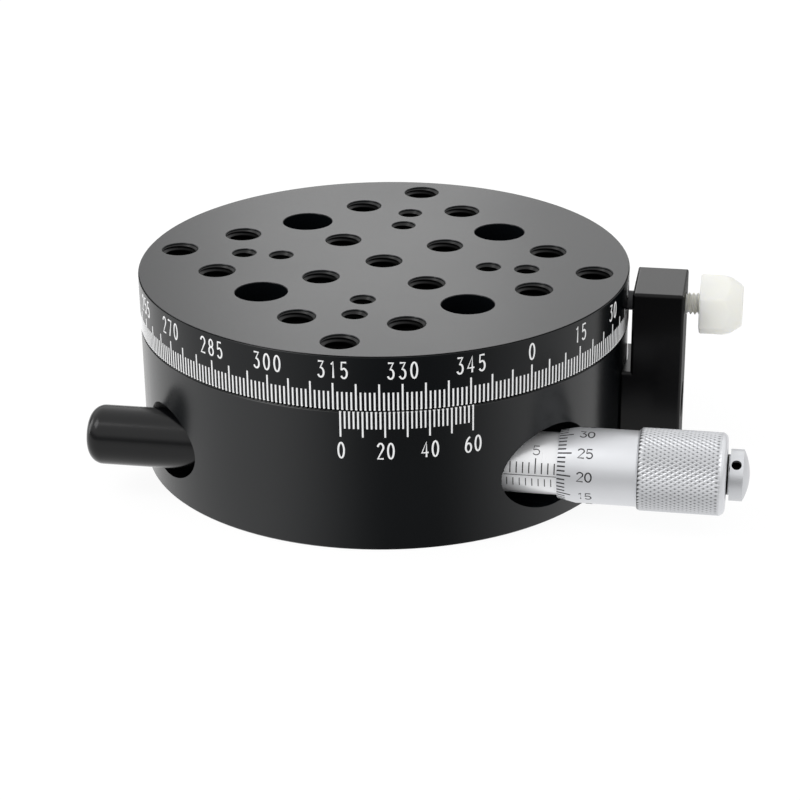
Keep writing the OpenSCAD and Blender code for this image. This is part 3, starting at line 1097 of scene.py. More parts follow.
@dataclass(frozen=True)
class Wall:
    """A cylinder that carries engraving, read from -Y.

    A place on it is (u, v) in metres: u runs to the reader's right and v upwards, along the
    surface, from the line that faces -Y.

    Attributes:
        origin: The point on the axis where u and v are 0.
        radius: The cylinder's radius.
        axis: How it lies.
        groove: Half the width of an engraved line.
        proud: How far the fill stands out.
    """

    origin: Vector
    radius: float
    axis: Axis
    groove: float
    proud: float

    @property
    def bead_radius(self) -> float:
        """Radius of a bead that shows the groove's width when it stands out by proud."""
        return (self.groove**2 + self.proud**2) / (2 * self.proud)

    def point(self, u: float, v: float) -> Vector:
        """The middle of the bead at a place on the wall.

        Args:
            u: The place across.
            v: The place upwards.

        Returns:
            The point in the frame.
        """
        upright = self.axis is Axis.UPRIGHT
        r = self.radius + self.proud - self.bead_radius
        a = (u if upright else v) / self.radius
        side, depth = r * math.sin(a), -r * math.cos(a)
        return self.origin + Vector((side, depth, v) if upright else (u, depth, side))

    def shift(self, u: float, v: float) -> Matrix:
        """The motion that carries what is engraved at (0, 0) to (u, v).

        Args:
            u: The place across.
            v: The place upwards.

        Returns:
            The motion.
        """
        upright = self.axis is Axis.UPRIGHT
        turn = turn_about(self.origin, self.axis.value, (u if upright else -v) / self.radius)
        return Matrix.Translation((0, 0, v) if upright else (u, 0, 0)) @ turn

    def line(self, first: tuple[float, float], last: tuple[float, float]) -> Object:
        """An engraved line, bent with the wall where it curves.

        Args:
            first: The place where it starts.
            last: The place where it ends.

        Returns:
            The filled line.
        """
        du, dv = last[0] - first[0], last[1] - first[1]
        across = du if self.axis is Axis.UPRIGHT else dv
        steps = max(1, round(abs(across) / self.radius / math.radians(6)))
        shares = [i / steps for i in range(steps + 1)]
        path = [self.point(first[0] + du * s, first[1] + dv * s) for s in shares]
        return bead(path, self.bead_radius)

    def digit(self, sign: str, width: float, height: float) -> Object:
        """A digit engraved in one pass for each of its strokes.

        Args:
            sign: The digit.
            width: Its width between middle lines.
            height: Its height between middle lines.

        Returns:
            The filled digit, with the middle of its foot at (0, 0).
        """
        passes = []
        for stroke in DIGITS[sign]:
            path = [self.point(x * width, y * height) for x, y in stroke.points]
            passes.append(bead(path, self.bead_radius, stroke.closed))
        return join("digit_" + sign, passes)

    def numbers(self, places: Iterable[tuple[int, float, float]], size: tuple[float, float],
                pitch: float) -> list[Object]:
        """Engraves numbers. Each digit is engraved once and then copied.

        Args:
            places: Each number, the place of its middle across and that of its foot upwards.
            size: Width and height of a digit between its middle lines.
            pitch: Distance between neighbouring digits.

        Returns:
            One object for each digit.
        """
        masters: dict[str, Object] = {}
        made = []
        for number, u, v in places:
            signs = str(number)
            for i, sign in enumerate(signs):
                if sign not in masters:
                    masters[sign] = self.digit(sign, *size)
                aside = (i - (len(signs) - 1) / 2) * pitch
                made.append(copy_at(masters[sign], self.shift(u + aside, v)))
        for master in masters.values():
            bpy.data.objects.remove(master)
        return made


def fives(name: str, longest: Object, shorter: Object, step: Callable[[int], Matrix],
          groups: int) -> Object:
    """A full ring of lines of which every fifth is long.

    Args:
        name: The ring's name.
        longest: The long line at the start.
        shorter: A short line at the same place, which is copied and then deleted.
        step: The motion of so many divisions.
        groups: Groups of five in the ring.

    Returns:
        The ring of lines.
    """
    group = [longest, *(copy_at(shorter, step(i)) for i in range(1, 5))]
    bpy.data.objects.remove(shorter)
    return repeat(join(name, group), groups, step(5))


# ---------------------------------------------------------------------------------------------
# The stage
# ---------------------------------------------------------------------------------------------


@dataclass
class Body:
    """Places that the other classes share, read from the frame.

    Attributes:
        seam: Gap between the base wall and the table rim.
        table_turn: Turn of the table at rest, in radians.
    """

    seam: float = 0.3 * MM
    table_turn: float = math.radians(-1)

    def __post_init__(self) -> None:
        """Reads the main places from the CAD nodes."""
        low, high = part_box("base")
        self.wall_radius = (high.x - low.x) / 2
        self.wall_top = high.z
        self.rim_foot = self.wall_top + self.seam
        self.table_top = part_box("table")[1].z
        low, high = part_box("thimble")
        self.drive = Vector((0, (low.y + high.y) / 2, (low.z + high.z) / 2))


@dataclass
class RimScale:
    """A white scale engraved round the stage.

    Attributes:
        body: The shared places.
        short: Length of a line.
        long: Length of every fifth line.
        digit_size: Width and height of a digit between its middle lines.
        digit_pitch: Distance between neighbouring digits.
        gap: Gap between a long line and the number at its end.
        line_half_width: Half the width of a line.
        digit_half_width: Half the width of a digit's stroke.
        proud: How far the fill stands out.
    """

    body: Body
    short: float
    long: float
    digit_size: tuple[float, float]
    digit_pitch: float
    gap: float
    line_half_width: float = 0.145 * MM
    digit_half_width: float = 0.15 * MM
    proud: float = 0.07 * MM

    def wall(self, level: float, half_width: float) -> Wall:
        """The wall round the stage, with a level in the frame as v = 0."""
        radius = self.body.wall_radius
        return Wall(Vector((0, 0, level)), radius, Axis.UPRIGHT, half_width, self.proud)


@dataclass
class DegreeRing(RimScale):
    """The table's degree scale: 360 lines with a number at every 15 degrees.

    Attributes:
        front_label: The number at the table's own -Y axis.
    """

    short: float = 3.12 * MM
    long: float = 4.52 * MM
    digit_size: tuple[float, float] = (0.93 * MM, 2.62 * MM)
    digit_pitch: float = 1.8 * MM
    gap: float = 0.58 * MM
    front_label: int = 315

    def lines(self) -> Object:
        """Engraves the lines, up from the rim's lower edge.

        Returns:
            The ring of lines.
        """
        wall = self.wall(self.body.rim_foot, self.line_half_width)
        longest = wall.line((0, 0), (0, self.long - self.line_half_width))
        shorter = wall.line((0, 0), (0, self.short - self.line_half_width))
        degree = math.radians(1) * wall.radius
        return fives("degree_lines", longest, shorter, lambda i: wall.shift(i * degree, 0), 72)

    def numbers(self) -> Object:
        """Engraves the numbers, which grow to the reader's right.

        Returns:
            All numbers as one piece.
        """
        wall = self.wall(self.body.rim_foot, self.digit_half_width)
        foot = self.long + self.gap + self.digit_half_width
        places = [(label, math.radians(label - self.front_label) * wall.radius, foot)
                  for label in range(0, 360, 15)]
        return join("degree_numbers", wall.numbers(places, self.digit_size, self.digit_pitch))

    def build(self, wardrobe: Wardrobe) -> None:
        """Makes both pieces and turns them with the table.

        Args:
            wardrobe: Dresses them.
        """
        turn = Matrix.Rotation(self.body.table_turn, 4, "Z")
        for obj in (self.lines(), self.numbers()):
            wardrobe.hand_over(moved(obj, turn), Finish.WHITE, "table")


@dataclass
class Vernier(RimScale):
    """The vernier on the base: 30 divisions over 29 degrees, read to 2 minutes.

    Attributes:
        zero: Place of its zero, in degrees from -Y.
        divisions: Its divisions.
        span: The degrees that they fill.
        aside: How far each number stands to the right of its line.
    """

    short: float = 3.0 * MM
    long: float = 4.4 * MM
    digit_size: tuple[float, float] = (0.9 * MM, 2.6 * MM)
    digit_pitch: float = 1.58 * MM
    gap: float = 0.73 * MM
    zero: float = 0.5
    divisions: int = 30
    span: float = 29
    aside: float = 0.04 * MM

    def place(self, division: float) -> float:
        """The place of a division along the wall."""
        angle = self.zero + division * self.span / self.divisions
        return math.radians(angle) * self.body.wall_radius

    def lines(self) -> Object:
        """Engraves the lines, down from the wall's top edge.

        Returns:
            All lines as one piece.
        """
        wall = self.wall(self.body.wall_top, self.line_half_width)
        made = []
        for i in range(self.divisions + 1):
            length = self.short if i % 5 else self.long
            u = self.place(i)
            made.append(wall.line((u, 0), (u, self.line_half_width - length)))
        return join("vernier_lines", made)

    def numbers(self) -> Object:
        """Engraves the minutes below every tenth line.

        Returns:
            All numbers as one piece.
        """
        wall = self.wall(self.body.wall_top, self.digit_half_width)
        foot = -self.long - self.gap - self.digit_half_width - self.digit_size[1]
        places = [(2 * i, self.place(i) + self.aside, foot)
                  for i in range(0, self.divisions + 1, 10)]
        return join("vernier_numbers", wall.numbers(places, self.digit_size, self.digit_pitch))

    def build(self, wardrobe: Wardrobe) -> None:
        """Makes both pieces."""
        for obj in (self.lines(), self.numbers()):
            wardrobe.hand_over(obj, Finish.WHITE, "base")


@dataclass
class MicrometerSleeve:
    """The sleeve's scale: an index line, 1 mm lines above it and half-millimetre lines below.

    Attributes:
        body: The shared places.
        reading: The millimetres that the thimble shows at rest.
        travel: The full scale.
        index_half_width: Half the width of the index line.
        upper_half_width: Half the width of a line above it.
        lower_half_width: Half the width of a line below it and of a digit's stroke.
        above: Length of a 1 mm line.
        above_fifth: Length of every fifth of them.
        below: Length of a half-millimetre line.
        gap: Gap between the index line and the lines above it.
        gap_below: Gap between the index line and the lines below it.
        number_gap: Gap between a fifth line and its number.
        digit_size: Width and height of a digit between its middle lines.
        digit_pitch: Distance between neighbouring digits.
        proud: How far the fill stands out.
    """

    body: Body
    reading: float = 8.4
    travel: int = 13
    index_half_width: float = 0.06 * MM
    upper_half_width: float = 0.1 * MM
    lower_half_width: float = 0.08 * MM
    above: float = 1.8 * MM
    above_fifth: float = 2.5 * MM
    below: float = 1.5 * MM
    gap: float = 0.35 * MM
    gap_below: float = 0.52 * MM
    number_gap: float = 0.55 * MM
    digit_size: tuple[float, float] = (1.05 * MM, 1.5 * MM)
    digit_pitch: float = 1.3 * MM
    proud: float = 0.05 * MM

    def wall(self, half_width: float) -> Wall:
        """The sleeve, with the zero line as u = 0.

        Args:
            half_width: Half the width of what is engraved.

        Returns:
            The sleeve's wall.
        """
        low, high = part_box("micrometer_sleeve")
        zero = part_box("thimble")[0].x - self.reading * MM
        origin = Vector((zero, self.body.drive.y, self.body.drive.z))
        return Wall(origin, (high.z - low.z) / 2, Axis.LEVEL, half_width, self.proud)

    def build(self, wardrobe: Wardrobe) -> None:
        """Makes the lines and the numbers of the sleeve.

        Args:
            wardrobe: Dresses them.
        """
        index = self.wall(self.index_half_width)
        upper = self.wall(self.upper_half_width)
        lower = self.wall(self.lower_half_width)
        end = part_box("micrometer_sleeve")[1].x - index.origin.x - self.gap
        made = [index.line((0, 0), (end, 0))]
        for i in range(self.travel + 1):
            top = self.gap + (self.above if i % 5 else self.above_fifth)
            made.append(upper.line((i * MM, self.gap), (i * MM, top)))
            if i < self.travel:
                half = (i + 0.5) * MM
                foot = -self.gap_below - self.below
                made.append(lower.line((half, -self.gap_below), (half, foot)))
        foot = self.gap + self.above_fifth + self.number_gap
        places = [(i, i * MM, foot) for i in range(0, self.travel + 1, 5)]
        made += lower.numbers(places, self.digit_size, self.digit_pitch)
        wardrobe.hand_over(join("sleeve_scale", made), Finish.BLACK, "base")


@dataclass
class Thimble:
    """The micrometer's thimble: bevel with 50 divisions, smooth drum and knurled grip.

    Attributes:
        body: The shared places.
        divisions: Divisions of the bevel, one turn.
        index: The division that stands at the index line.
        bevel: Length of the bevel.
        lip: Drop of the bevel from the drum to its front edge.
        drum_radius: Radius of the smooth drum.
        shoulder: From the front edge to the knurl.
        shoulder_width: Length of the slope up to the knurl.
        sleeve_clearance: Radius of the bore over the sleeve.
        wall_depth: Depth of that bore.
        tail_clearance: Radius of the bore behind it.
        cap_seat_radius: Radius of the cap's seat.
        cap_seat_depth: Depth of the cap's seat.
        edge: Length of the rounding at the outer end.
        edge_drop: Drop of that rounding.
        edge_start: Drop from the knurl's tips to where it starts.
        edge_steps: Steps round it.
        teeth: Knurl teeth round the grip.
        rows: Half rows of knurl along the grip.
        knurl_depth: Depth of the knurl.
        line_half_width: Half the width of a line and of a digit's stroke.
        line_start: From the front edge to the lines.
        short: Where a short line ends.
        long: Where every fifth line ends.
        number_gap: From the bevel to the middle of the numbers.
        digit_size: Width and height of a digit between its middle lines.
        digit_pitch: Distance between neighbouring digits.
        proud: How far the fill stands out.
    """

    body: Body
    divisions: int = 50
    index: int = 19
    bevel: float = 2.9 * MM
    lip: float = 0.6 * MM
    drum_radius: float = 6.05 * MM
    shoulder: float = 13.0 * MM
    shoulder_width: float = 0.6 * MM
    sleeve_clearance: float = 5.03 * MM
    wall_depth: float = 16.3 * MM
    tail_clearance: float = 2.23 * MM
    cap_seat_radius: float = 3.2 * MM
    cap_seat_depth: float = 3.1 * MM
    edge: float = 0.85 * MM
    edge_drop: float = 1.1 * MM
    edge_start: float = 0.05 * MM
    edge_steps: int = 6
    teeth: int = 56
    rows: int = 20
    knurl_depth: float = 0.17 * MM
    line_half_width: float = 0.12 * MM
    line_start: float = 0.05 * MM
    short: float = 1.35 * MM
    long: float = 2.3 * MM
    number_gap: float = 1.5 * MM
    digit_size: tuple[float, float] = (0.98 * MM, 1.5 * MM)
    digit_pitch: float = 1.3 * MM
    proud: float = 0.05 * MM

    def __post_init__(self) -> None:
        """Reads the thimble's place from the CAD node."""
        low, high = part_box("thimble")
        self.front = low.x
        self.back = high.x
        self.grip_radius = (high.z - low.z) / 2
        self.root = self.grip_radius - self.knurl_depth
        self.grip_start = self.front + self.shoulder
        self.grip_end = self.back - self.edge
        self.row = (self.grip_end - self.grip_start) / self.rows

    def profile(self) -> list[Vector]:
        """The half section above the axis, from the front edge round the outside to the bores.

        Returns:
            Its corners in order.
        """
        crest = self.grip_radius - self.edge_start
        turns = [FULL_TURN / 4 * i / self.edge_steps for i in range(1, self.edge_steps + 1)]
        corners = [
            (self.front, self.sleeve_clearance),
            (self.front, self.drum_radius - self.lip),
            (self.front + self.bevel, self.drum_radius),
            (self.grip_start - self.shoulder_width, self.drum_radius),
            (self.grip_start - 0.5 * self.row, self.root),
            *((self.grip_start + i * self.row, self.grip_radius) for i in range(self.rows + 1)),
            *((self.grip_end + self.edge * math.sin(a),
               crest - self.edge_drop * (1 - math.cos(a))) for a in turns),
            (self.back, self.cap_seat_radius),
            (self.back - self.cap_seat_depth, self.cap_seat_radius),
            (self.back - self.cap_seat_depth, self.tail_clearance),
            (self.front + self.wall_depth, self.tail_clearance),
            (self.front + self.wall_depth, self.sleeve_clearance),
        ]
        return [self.body.drive + Vector((x, 0, r)) for x, r in corners]

    def radius_at(self, point: Vector) -> float:
        """The distance of a point from the axis."""
        return math.hypot(point.y - self.body.drive.y, point.z - self.body.drive.z)

    def on_grip(self, point: Vector) -> bool:
        """Says whether a vertex lies on the knurl."""
        along = self.grip_start - HAIR < point.x < self.grip_end + HAIR
        return along and self.radius_at(point) > self.root - HAIR

    def in_valley(self, point: Vector) -> bool:
        """Says whether a vertex of the grip lies between two teeth.

        Args:
            point: The vertex's place.

        Returns:
            True on every second vertex of each row, except for the last row.
        """
        out = point - self.body.drive
        row = round((out.x - self.grip_start) / self.row)
        column = round(math.atan2(out.z, out.y) / FULL_TURN * 2 * self.teeth)
        crest = abs(self.radius_at(point) - self.grip_radius) < HAIR
        return crest and row < self.rows and (row + column) % 2 == 1

    def shell(self) -> Object:
        """Turns the thimble from its profile and cuts the knurl.

        Returns:
            The thimble.
        """
        obj = turned(self.profile(), self.body.drive, 2 * self.teeth)
        squeeze = self.root / self.grip_radius
        with editing(obj):
            pick(obj, self.in_valley)
            bpy.ops.transform.resize(value=(1, squeeze, squeeze),
                                     center_override=self.body.drive)
            pick(obj, self.on_grip)
            bpy.ops.mesh.quads_convert_to_tris(quad_method="LONGEST_DIAGONAL")
        return settle(smooth(obj, 25), "knurled_thimble")

    def scale(self) -> Object:
        """Engraves the bevel's lines and the numbers on the drum.

        Returns:
            Both as one piece.
        """
        origin = Vector((self.front, self.body.drive.y, self.body.drive.z))
        radius = self.drum_radius - self.lip
        bevel = Wall(origin, radius, Axis.LEVEL, self.line_half_width, self.proud)
        edge = origin + Vector((0, -radius, 0))
        tilt = turn_about(edge, "Z", -math.atan2(self.lip, self.bevel))
        longest, shorter = (moved(bevel.line((self.line_start, 0), (end, 0)), tilt)
                            for end in (self.long, self.short))
        step = FULL_TURN / self.divisions * radius
        ring = fives("thimble_scale", longest, shorter, lambda i: bevel.shift(0, i * step),
                     self.divisions // 5)
        moved(ring, bevel.shift(0, -self.index * step))
        drum = Wall(origin, self.drum_radius, Axis.LEVEL, self.line_half_width, self.proud)
        step = FULL_TURN / self.divisions * drum.radius
        foot = -self.digit_size[1] / 2
        places = [(label, self.bevel + self.number_gap, (label - self.index) * step + foot)
                  for label in range(0, self.divisions, 5)]
        digits = drum.numbers(places, self.digit_size, self.digit_pitch)
        return join("thimble_scale", [ring, *digits])

    def build(self, wardrobe: Wardrobe) -> None:
        """Makes the shell in place of the CAD thimble, and its scale.

        Args:
            wardrobe: Dresses them.
        """
        shell = wardrobe.hand_over(self.shell(), Finish.KNURL, "thimble")
        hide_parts("thimble")
        wardrobe.hand_over(self.scale(), Finish.BLACK, "thimble")


@dataclass(frozen=True)
class Tap:
    """A size of tapped hole.

    Attributes:
        name: The name of its threads' piece.
        size: Nominal diameter.
        pitch: The thread's pitch.
        spots: Where it is on the grid, in steps from the centre without their signs.
        outer: Distance of four more holes from the centre, if there are any.
    """

    name: str
    size: float
    pitch: float
    spots: tuple[tuple[int, int], ...]
    outer: float = 0.0


@dataclass
class TappedHoles:
    """The threads in the table's tapped holes, with a countersunk mouth on each.

    Attributes:
        body: The shared places.
        grid: Pitch of the square grid, which is turned by 45 degrees.
        taps: The sizes of hole.
        depth: Length of a thread.
        wall: Overlap of a thread with the hole's wall, so that nothing shows between them.
        mouth: How far a thread starts below the table's top.
        thread_depth: Depth of a thread, as a share of its pitch.
        play: How far the cutter stays inside the nominal diameter.
        chamfer: How far the mouth opens past the thread on both sides.
    """

    body: Body
    grid: float = 12.5 * MM
    taps: tuple[Tap, ...] = (
        Tap("m6_threads", 6 * MM, 1 * MM, ((0, 0), (1, 0), (0, 1), (1, 2), (2, 1), (2, 2))),
        Tap("m4_threads", 4 * MM, 0.7 * MM, ((1, 1),), 24.1 * MM),
    )
    depth: float = 8.4 * MM
    wall: float = 0.03 * MM
    mouth: float = 0.2 * MM
    thread_depth: float = 0.54
    play: float = 0.02 * MM
    chamfer: float = 0.1 * MM

    def liner(self, tap: Tap) -> Object:
        """A threaded tube that hangs from the frame's origin, along -Z.

        Args:
            tap: The hole's size.

        Returns:
            A closed mesh.
        """
        radius, pitch = tap.size / 2, tap.pitch
        inner = radius - self.thread_depth * pitch
        tube = settle(start(bpy.ops.mesh.primitive_cylinder_add, vertices=48,
                            radius=radius + self.wall, depth=self.depth,
                            location=(0, 0, -self.mouth - self.depth / 2)))
        rod = Thread(radius - self.play, inner, pitch).rod(self.depth + 4 * pitch)
        carve(tube, moved(rod, Matrix.Translation((0, 0, -self.depth - 2 * pitch))))
        small, large = inner - self.chamfer, radius + self.chamfer
        height = large - small
        cone = start(bpy.ops.mesh.primitive_cone_add, vertices=48, radius1=small, radius2=large,
                     depth=height, location=(0, 0, self.play - self.mouth - height / 2))
        carve(tube, settle(cone))
        return smooth(tube)

    def places(self, tap: Tap) -> list[tuple[float, float]]:
        """Where the holes of a size lie, before the grid is turned.

        Args:
            tap: The size.

        Returns:
            X and Y of each hole.
        """
        steps = range(-2, 3)
        found = [(i * self.grid, j * self.grid) for i in steps for j in steps
                 if (abs(i), abs(j)) in tap.spots]
        if tap.outer:
            reach = tap.outer / math.sqrt(2)
            found += [(x, y) for x in (-reach, reach) for y in (-reach, reach)]
        return found

    def build(self, wardrobe: Wardrobe) -> None:
        """Copies a thread to each tapped hole of both sizes.

        Args:
            wardrobe: Dresses them.
        """
        turn = Matrix.Rotation(self.body.table_turn + math.radians(45), 4, "Z")
        for tap in self.taps:
            master = self.liner(tap)
            copies = [copy_at(master, turn @ Matrix.Translation((x, y, self.body.table_top)))
                      for x, y in self.places(tap)]
            bpy.data.objects.remove(master)
            threads = join(tap.name, copies)
            wardrobe.hand_over(threads, Finish.THREAD, "table")


@dataclass
class LockScrew:
    """The nylon hand screw: M4 thread and a hexagonal head with a conical outer end.

    Attributes:
        across_flats: Width of the head.
        head_length: Length of the head.
        cone_start: Radius of the cone at the head's inner face.
        cone_end: Radius of the cone at its outer face.
        root: How far the shank reaches into the head.
        thread: The shank's thread.
        rounding: Radius of the head's edges.
    """

    across_flats: float = 9.2 * MM
    head_length: float = 7.0 * MM
    cone_start: float = 8.0 * MM
    cone_end: float = 3.3 * MM
    root: float = 0.5 * MM
    thread: Thread = Thread(1.8 * MM, 1.42 * MM, 0.7 * MM)
    rounding: float = 0.35 * MM

    def head(self, place: Matrix) -> Object:
        """A hexagonal head cut by a cone.

        Args:
            place: Where its middle lies, with the screw's axis as Z.

        Returns:
            The head with rounded edges.
        """
        head = start(bpy.ops.mesh.primitive_cylinder_add, vertices=6, depth=self.head_length,
                     radius=self.across_flats / 2 / math.cos(math.radians(30)))
        moved(head, place @ Matrix.Rotation(math.radians(90), 4, "Z"))
        cone = start(bpy.ops.mesh.primitive_cone_add, vertices=72, radius1=self.cone_start,
                     radius2=self.cone_end, depth=self.head_length)
        carve(head, moved(cone, place), "INTERSECT")
        with editing(head):
            bpy.ops.mesh.remove_doubles(threshold=HAIR)
            bpy.ops.mesh.dissolve_limited(angle_limit=math.radians(1))
        return modify(head, "BEVEL", width=self.rounding, segments=4, limit_method="ANGLE",
                      angle_limit=math.radians(20))

    def build(self, wardrobe: Wardrobe) -> None:
        """Makes the screw in place of the CAD one.

        Args:
            wardrobe: Dresses it.
        """
        low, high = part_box("lock_screw")
        middle = (low + high) / 2
        level = Matrix.Rotation(math.radians(90), 4, "Y")
        shoulder = high.x - self.head_length
        tip = Vector((low.x, middle.y, middle.z))
        centre = Vector((high.x - self.head_length / 2, middle.y, middle.z))
        shank = moved(self.thread.rod(shoulder - low.x + self.root),
                      Matrix.Translation(tip) @ level)
        screw = join("nylon_screw", [self.head(Matrix.Translation(centre) @ level), shank])
        wardrobe.hand_over(smooth(screw), Finish.NYLON, "lock_screw")
        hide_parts("lock_screw")


@dataclass
class PlungerSpring:
    """The plunger's coil spring.

    Attributes:
        wire: Radius of the wire.
        turns: Number of coils.
        steps: Steps in one coil.
    """

    wire: float = 0.4 * MM
    turns: int = 6
    steps: int = 24

    def build(self, wardrobe: Wardrobe) -> None:
        """Winds the spring in place of the rigid one, from the base's seat to the pin's flange.

        Args:
            wardrobe: Dresses it.
        """
        low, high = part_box("plunger_spring")
        middle = (low + high) / 2
        seat = Vector((low.x + self.wire, middle.y, middle.z))
        flange = Vector((high.x - self.wire, middle.y, middle.z))
        spring = start(bpy.ops.mesh.primitive_circle_add, vertices=12, radius=self.wire)
        with editing(spring):
            bpy.ops.transform.translate(value=(0, high.y - middle.y - self.wire, 0))
        modify(spring, "SCREW", axis="X", iterations=self.turns, steps=self.steps,
               render_steps=self.steps, screw_offset=(flange.x - seat.x) / self.turns)
        with editing(spring):
            bpy.ops.mesh.fill_holes(sides=0)
            bpy.ops.mesh.normals_make_consistent(inside=False)
        smooth(moved(spring, Matrix.Translation(seat), "coil_spring"))
        wardrobe.dress(spring, Finish.STEEL)
        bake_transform(spring)
        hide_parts("plunger_spring")
        LOG.info("%s: %d faces, base to pin", spring.name, len(spring.data.polygons))


# ---------------------------------------------------------------------------------------------
# The studio
# ---------------------------------------------------------------------------------------------


@dataclass(frozen=True)
class Lamp:
    """A soft rectangular lamp that faces the stage.

    Attributes:
        name: Its name.
        place: Its place.
        size: Its width and height.
        power: Its power in watts.
    """

    name: str
    place: tuple[float, float, float]
    size: tuple[float, float]
    power: float

    def build(self) -> None:
        """Adds the lamp."""
        bpy.ops.object.light_add(type="AREA", location=self.place)
        lamp = bpy.context.active_object
        lamp.name = self.name
        lamp.data.shape = "RECTANGLE"
        lamp.data.size, lamp.data.size_y = self.size
        lamp.data.energy = self.power
        aim = Vector((0, 0, 20 * MM)) - Vector(self.place)
        lamp.rotation_euler = aim.to_track_quat("-Z", "Y").to_euler()


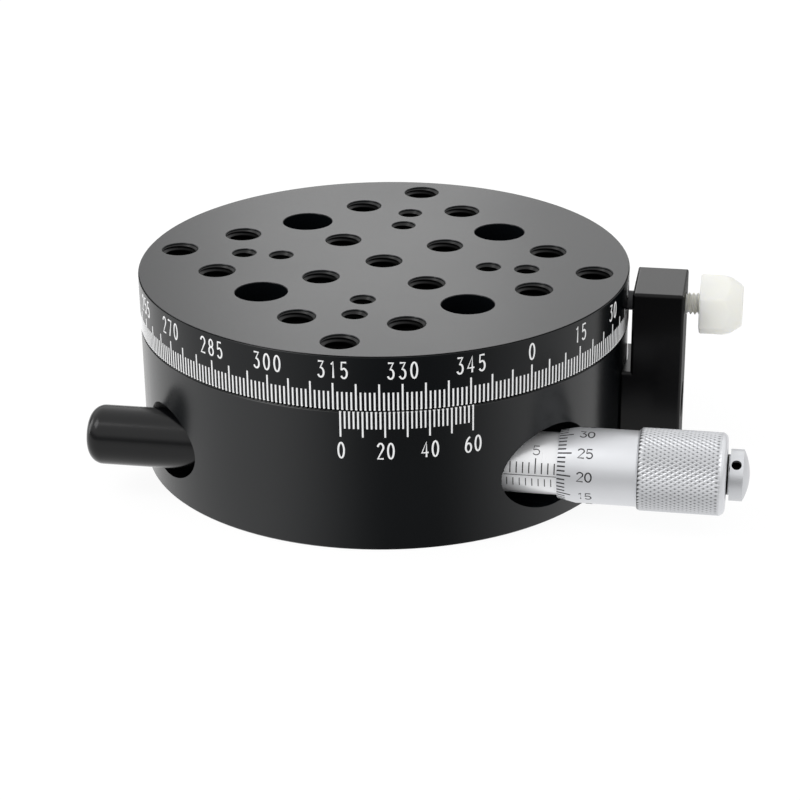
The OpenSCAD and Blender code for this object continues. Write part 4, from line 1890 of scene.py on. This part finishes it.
@dataclass
class Studio:
    """Camera, floor, world and lamps.

    Attributes:
        body: The shared places.
        azimuth: Angle of the view from -Y towards +X, in degrees.
        elevation: Angle of the view above the table, in degrees.
        roll: Roll of the camera, in degrees.
        lens: Focal length in millimetres.
        distance: Distance from the table top.
        aside: Offset of the camera to its right.
        above: Offset of the camera upwards.
        daylight: The world's light on matt surfaces.
        horizon: The world's brightness in reflections, near the horizon.
        zenith: The same overhead.
        sky_start: Height above the horizon where the sky starts to brighten, in degrees.
        sky_rise: How fast it brightens.
        card_azimuth: Bearing of the middle of a painted shadow on the floor, which only reflections
            show, in degrees.
        card_inner: Half the angle that the painted shadow fills at its full depth, in degrees.
        card_outer: Half the angle over which it fades out, in degrees.
        card_value: How bright the floor looks in reflections under the painted shadow.
        card_end: How far it reaches from the stage's middle.
        card_fade: How far before that it starts to fade.
        card_focus: Where the painted shadow's fan starts, as a share of the stage's radius.
        paper: Brightness of the floor where it shines by itself.
        plain: How much of that the camera sees. The rest is lit, and keeps the shadow.
        lamps: The lamps.
    """

    body: Body
    azimuth: float = 10.03
    elevation: float = 24.215
    roll: float = -0.649
    lens: float = 103.565
    distance: float = 385.42 * MM
    aside: float = 2.68 * MM
    above: float = -23.31 * MM
    daylight: float = 0.82
    horizon: float = 0.35
    zenith: float = 1.25
    sky_start: float = 9
    sky_rise: float = 4.5
    card_azimuth: float = 21
    card_inner: float = 8
    card_outer: float = 68
    card_value: float = 0.13
    card_end: float = 300 * MM
    card_fade: float = 110 * MM
    card_focus: float = 0.5
    paper: float = 1.06
    plain: float = 0.86
    lamps: tuple[Lamp, ...] = (
        Lamp("key_lamp", (-0.8, -0.5, 1.1), (0.6, 0.6), 4.4),
        Lamp("back_lamp", (-0.05, 1.3, 0.72), (0.75, 0.6), 0.82),
        Lamp("window_lamp", (-0.25, 1.31, 0.72), (0.22, 0.6), 0.4),
        Lamp("left_lamp", (-1.15, 0.15, 0.2), (0.4, 0.8), 3.0),
    )

    def camera(self) -> None:
        """Places the camera."""
        a, e, r = (math.radians(x) for x in (self.azimuth, self.elevation, self.roll))
        back = Vector((math.sin(a) * math.cos(e), -math.cos(a) * math.cos(e), math.sin(e)))
        level = Vector((math.cos(a), math.sin(a), 0))
        upright = back.cross(level)
        right = math.cos(r) * level + math.sin(r) * upright
        up = math.cos(r) * upright - math.sin(r) * level
        place = Vector((0, 0, self.body.table_top))
        place += back * self.distance + right * self.aside + up * self.above
        bpy.ops.object.camera_add(location=place)
        camera = bpy.context.active_object
        axes = Matrix((right, up, back)).transposed()
        camera.matrix_world = Matrix.Translation(place) @ axes.to_4x4()
        camera.data.lens = self.lens
        camera.data.sensor_width = 36
        camera.data.clip_start = 0.01
        camera.data.clip_end = 20
        bpy.context.scene.camera = camera

    def card(self, graph: Graph) -> Value:
        """A painted shadow on the floor in front of the stage, a fan that spreads from under it,
        which only reflections show.

        Args:
            graph: The floor's nodes.

        Returns:
            1 in the painted shadow and 0 beside it.
        """
        focus = self.card_focus * self.body.wall_radius
        a = math.radians(self.azimuth)
        apex = Vector((focus * math.sin(a), -focus * math.cos(a), 0))
        front = 0 - graph.along("Y", apex)
        bearing = graph.maths("ARCTAN2", graph.along("X", apex), front)
        off = graph.maths("ABSOLUTE", bearing - math.radians(self.card_azimuth), 0)
        outer = math.radians(self.card_outer)
        fan = off.before(outer, outer - math.radians(self.card_inner))
        near = graph.reach(even(1), apex).before(self.card_end, self.card_fade)
        return fan * fan * (3 - 2 * fan) * near

    def floor(self) -> None:
        """Lays a pale floor that keeps the object's shadow. Reflections also show a painted shadow
        on it in front of the stage.
        """
        floor = start(bpy.ops.mesh.primitive_plane_add, size=6, location=(0, 0, -0.02 * MM))
        floor.name = "floor"
        graph = Graph("pale_floor")
        # Painted shadow: glossy rays see the floor darker in a fan in front of the stage.
        dark = self.card(graph) * graph.rays("Glossy")
        matt = graph.node("BsdfDiffuse", Color=(0.9, 0.9, 0.9, 1))
        paper = graph.node("Emission", Strength=self.paper,
                           Color=graph.blend(dark, (1, 1, 1), (self.card_value,) * 3))
        indirect = graph.rays("Glossy", "Transmission", "Diffuse")
        share = (self.plain * graph.rays("Camera") + indirect).clamped()
        floor.data.materials.append(graph.surface(graph.mix(share, matt, paper)))

    def world(self) -> None:
        """Gives even pale light, white for the camera, and a paler sky above a greyer horizon
        in reflections."""
        graph = Graph("studio", world=True)
        way = graph.node("SeparateXYZ", Vector=graph.node("TexCoord").outputs["Generated"])
        height = Value(graph, way.outputs["Z"])
        sky = height.past(math.sin(math.radians(self.sky_start)), 1 / self.sky_rise)
        light = graph.node("Background", Color=(1, 1, 1, 1), Strength=self.daylight)
        white = graph.node("Background", Color=(1, 1, 1, 1), Strength=1.0)
        horizon, zenith = (self.horizon,) * 3, (self.zenith,) * 3
        mirrored = graph.node("Background", Color=graph.blend(sky, horizon, zenith))
        lit = graph.mix(graph.rays("Glossy"), light, mirrored)
        seen = graph.mix(graph.rays("Camera", "Transmission"), lit, white)
        bpy.context.scene.world = graph.surface(seen)

    def build(self) -> None:
        """Sets the whole studio."""
        self.camera()
        self.floor()
        self.world()
        for lamp in self.lamps:
            lamp.build()
        bpy.context.scene.view_settings.view_transform = "Standard"


def main() -> None:
    """Builds the studio and every piece of the stage in order."""
    logging.basicConfig(level=logging.INFO, format="%(message)s")
    body = Body()
    Studio(body).build()
    wardrobe = Wardrobe()
    wardrobe.dress_frame()
    parts = (DegreeRing(body), Vernier(body), MicrometerSleeve(body), Thimble(body),
             TappedHoles(body), LockScrew(), PlungerSpring())
    for part in parts:
        part.build(wardrobe)


if __name__ == "__main__":
    main()
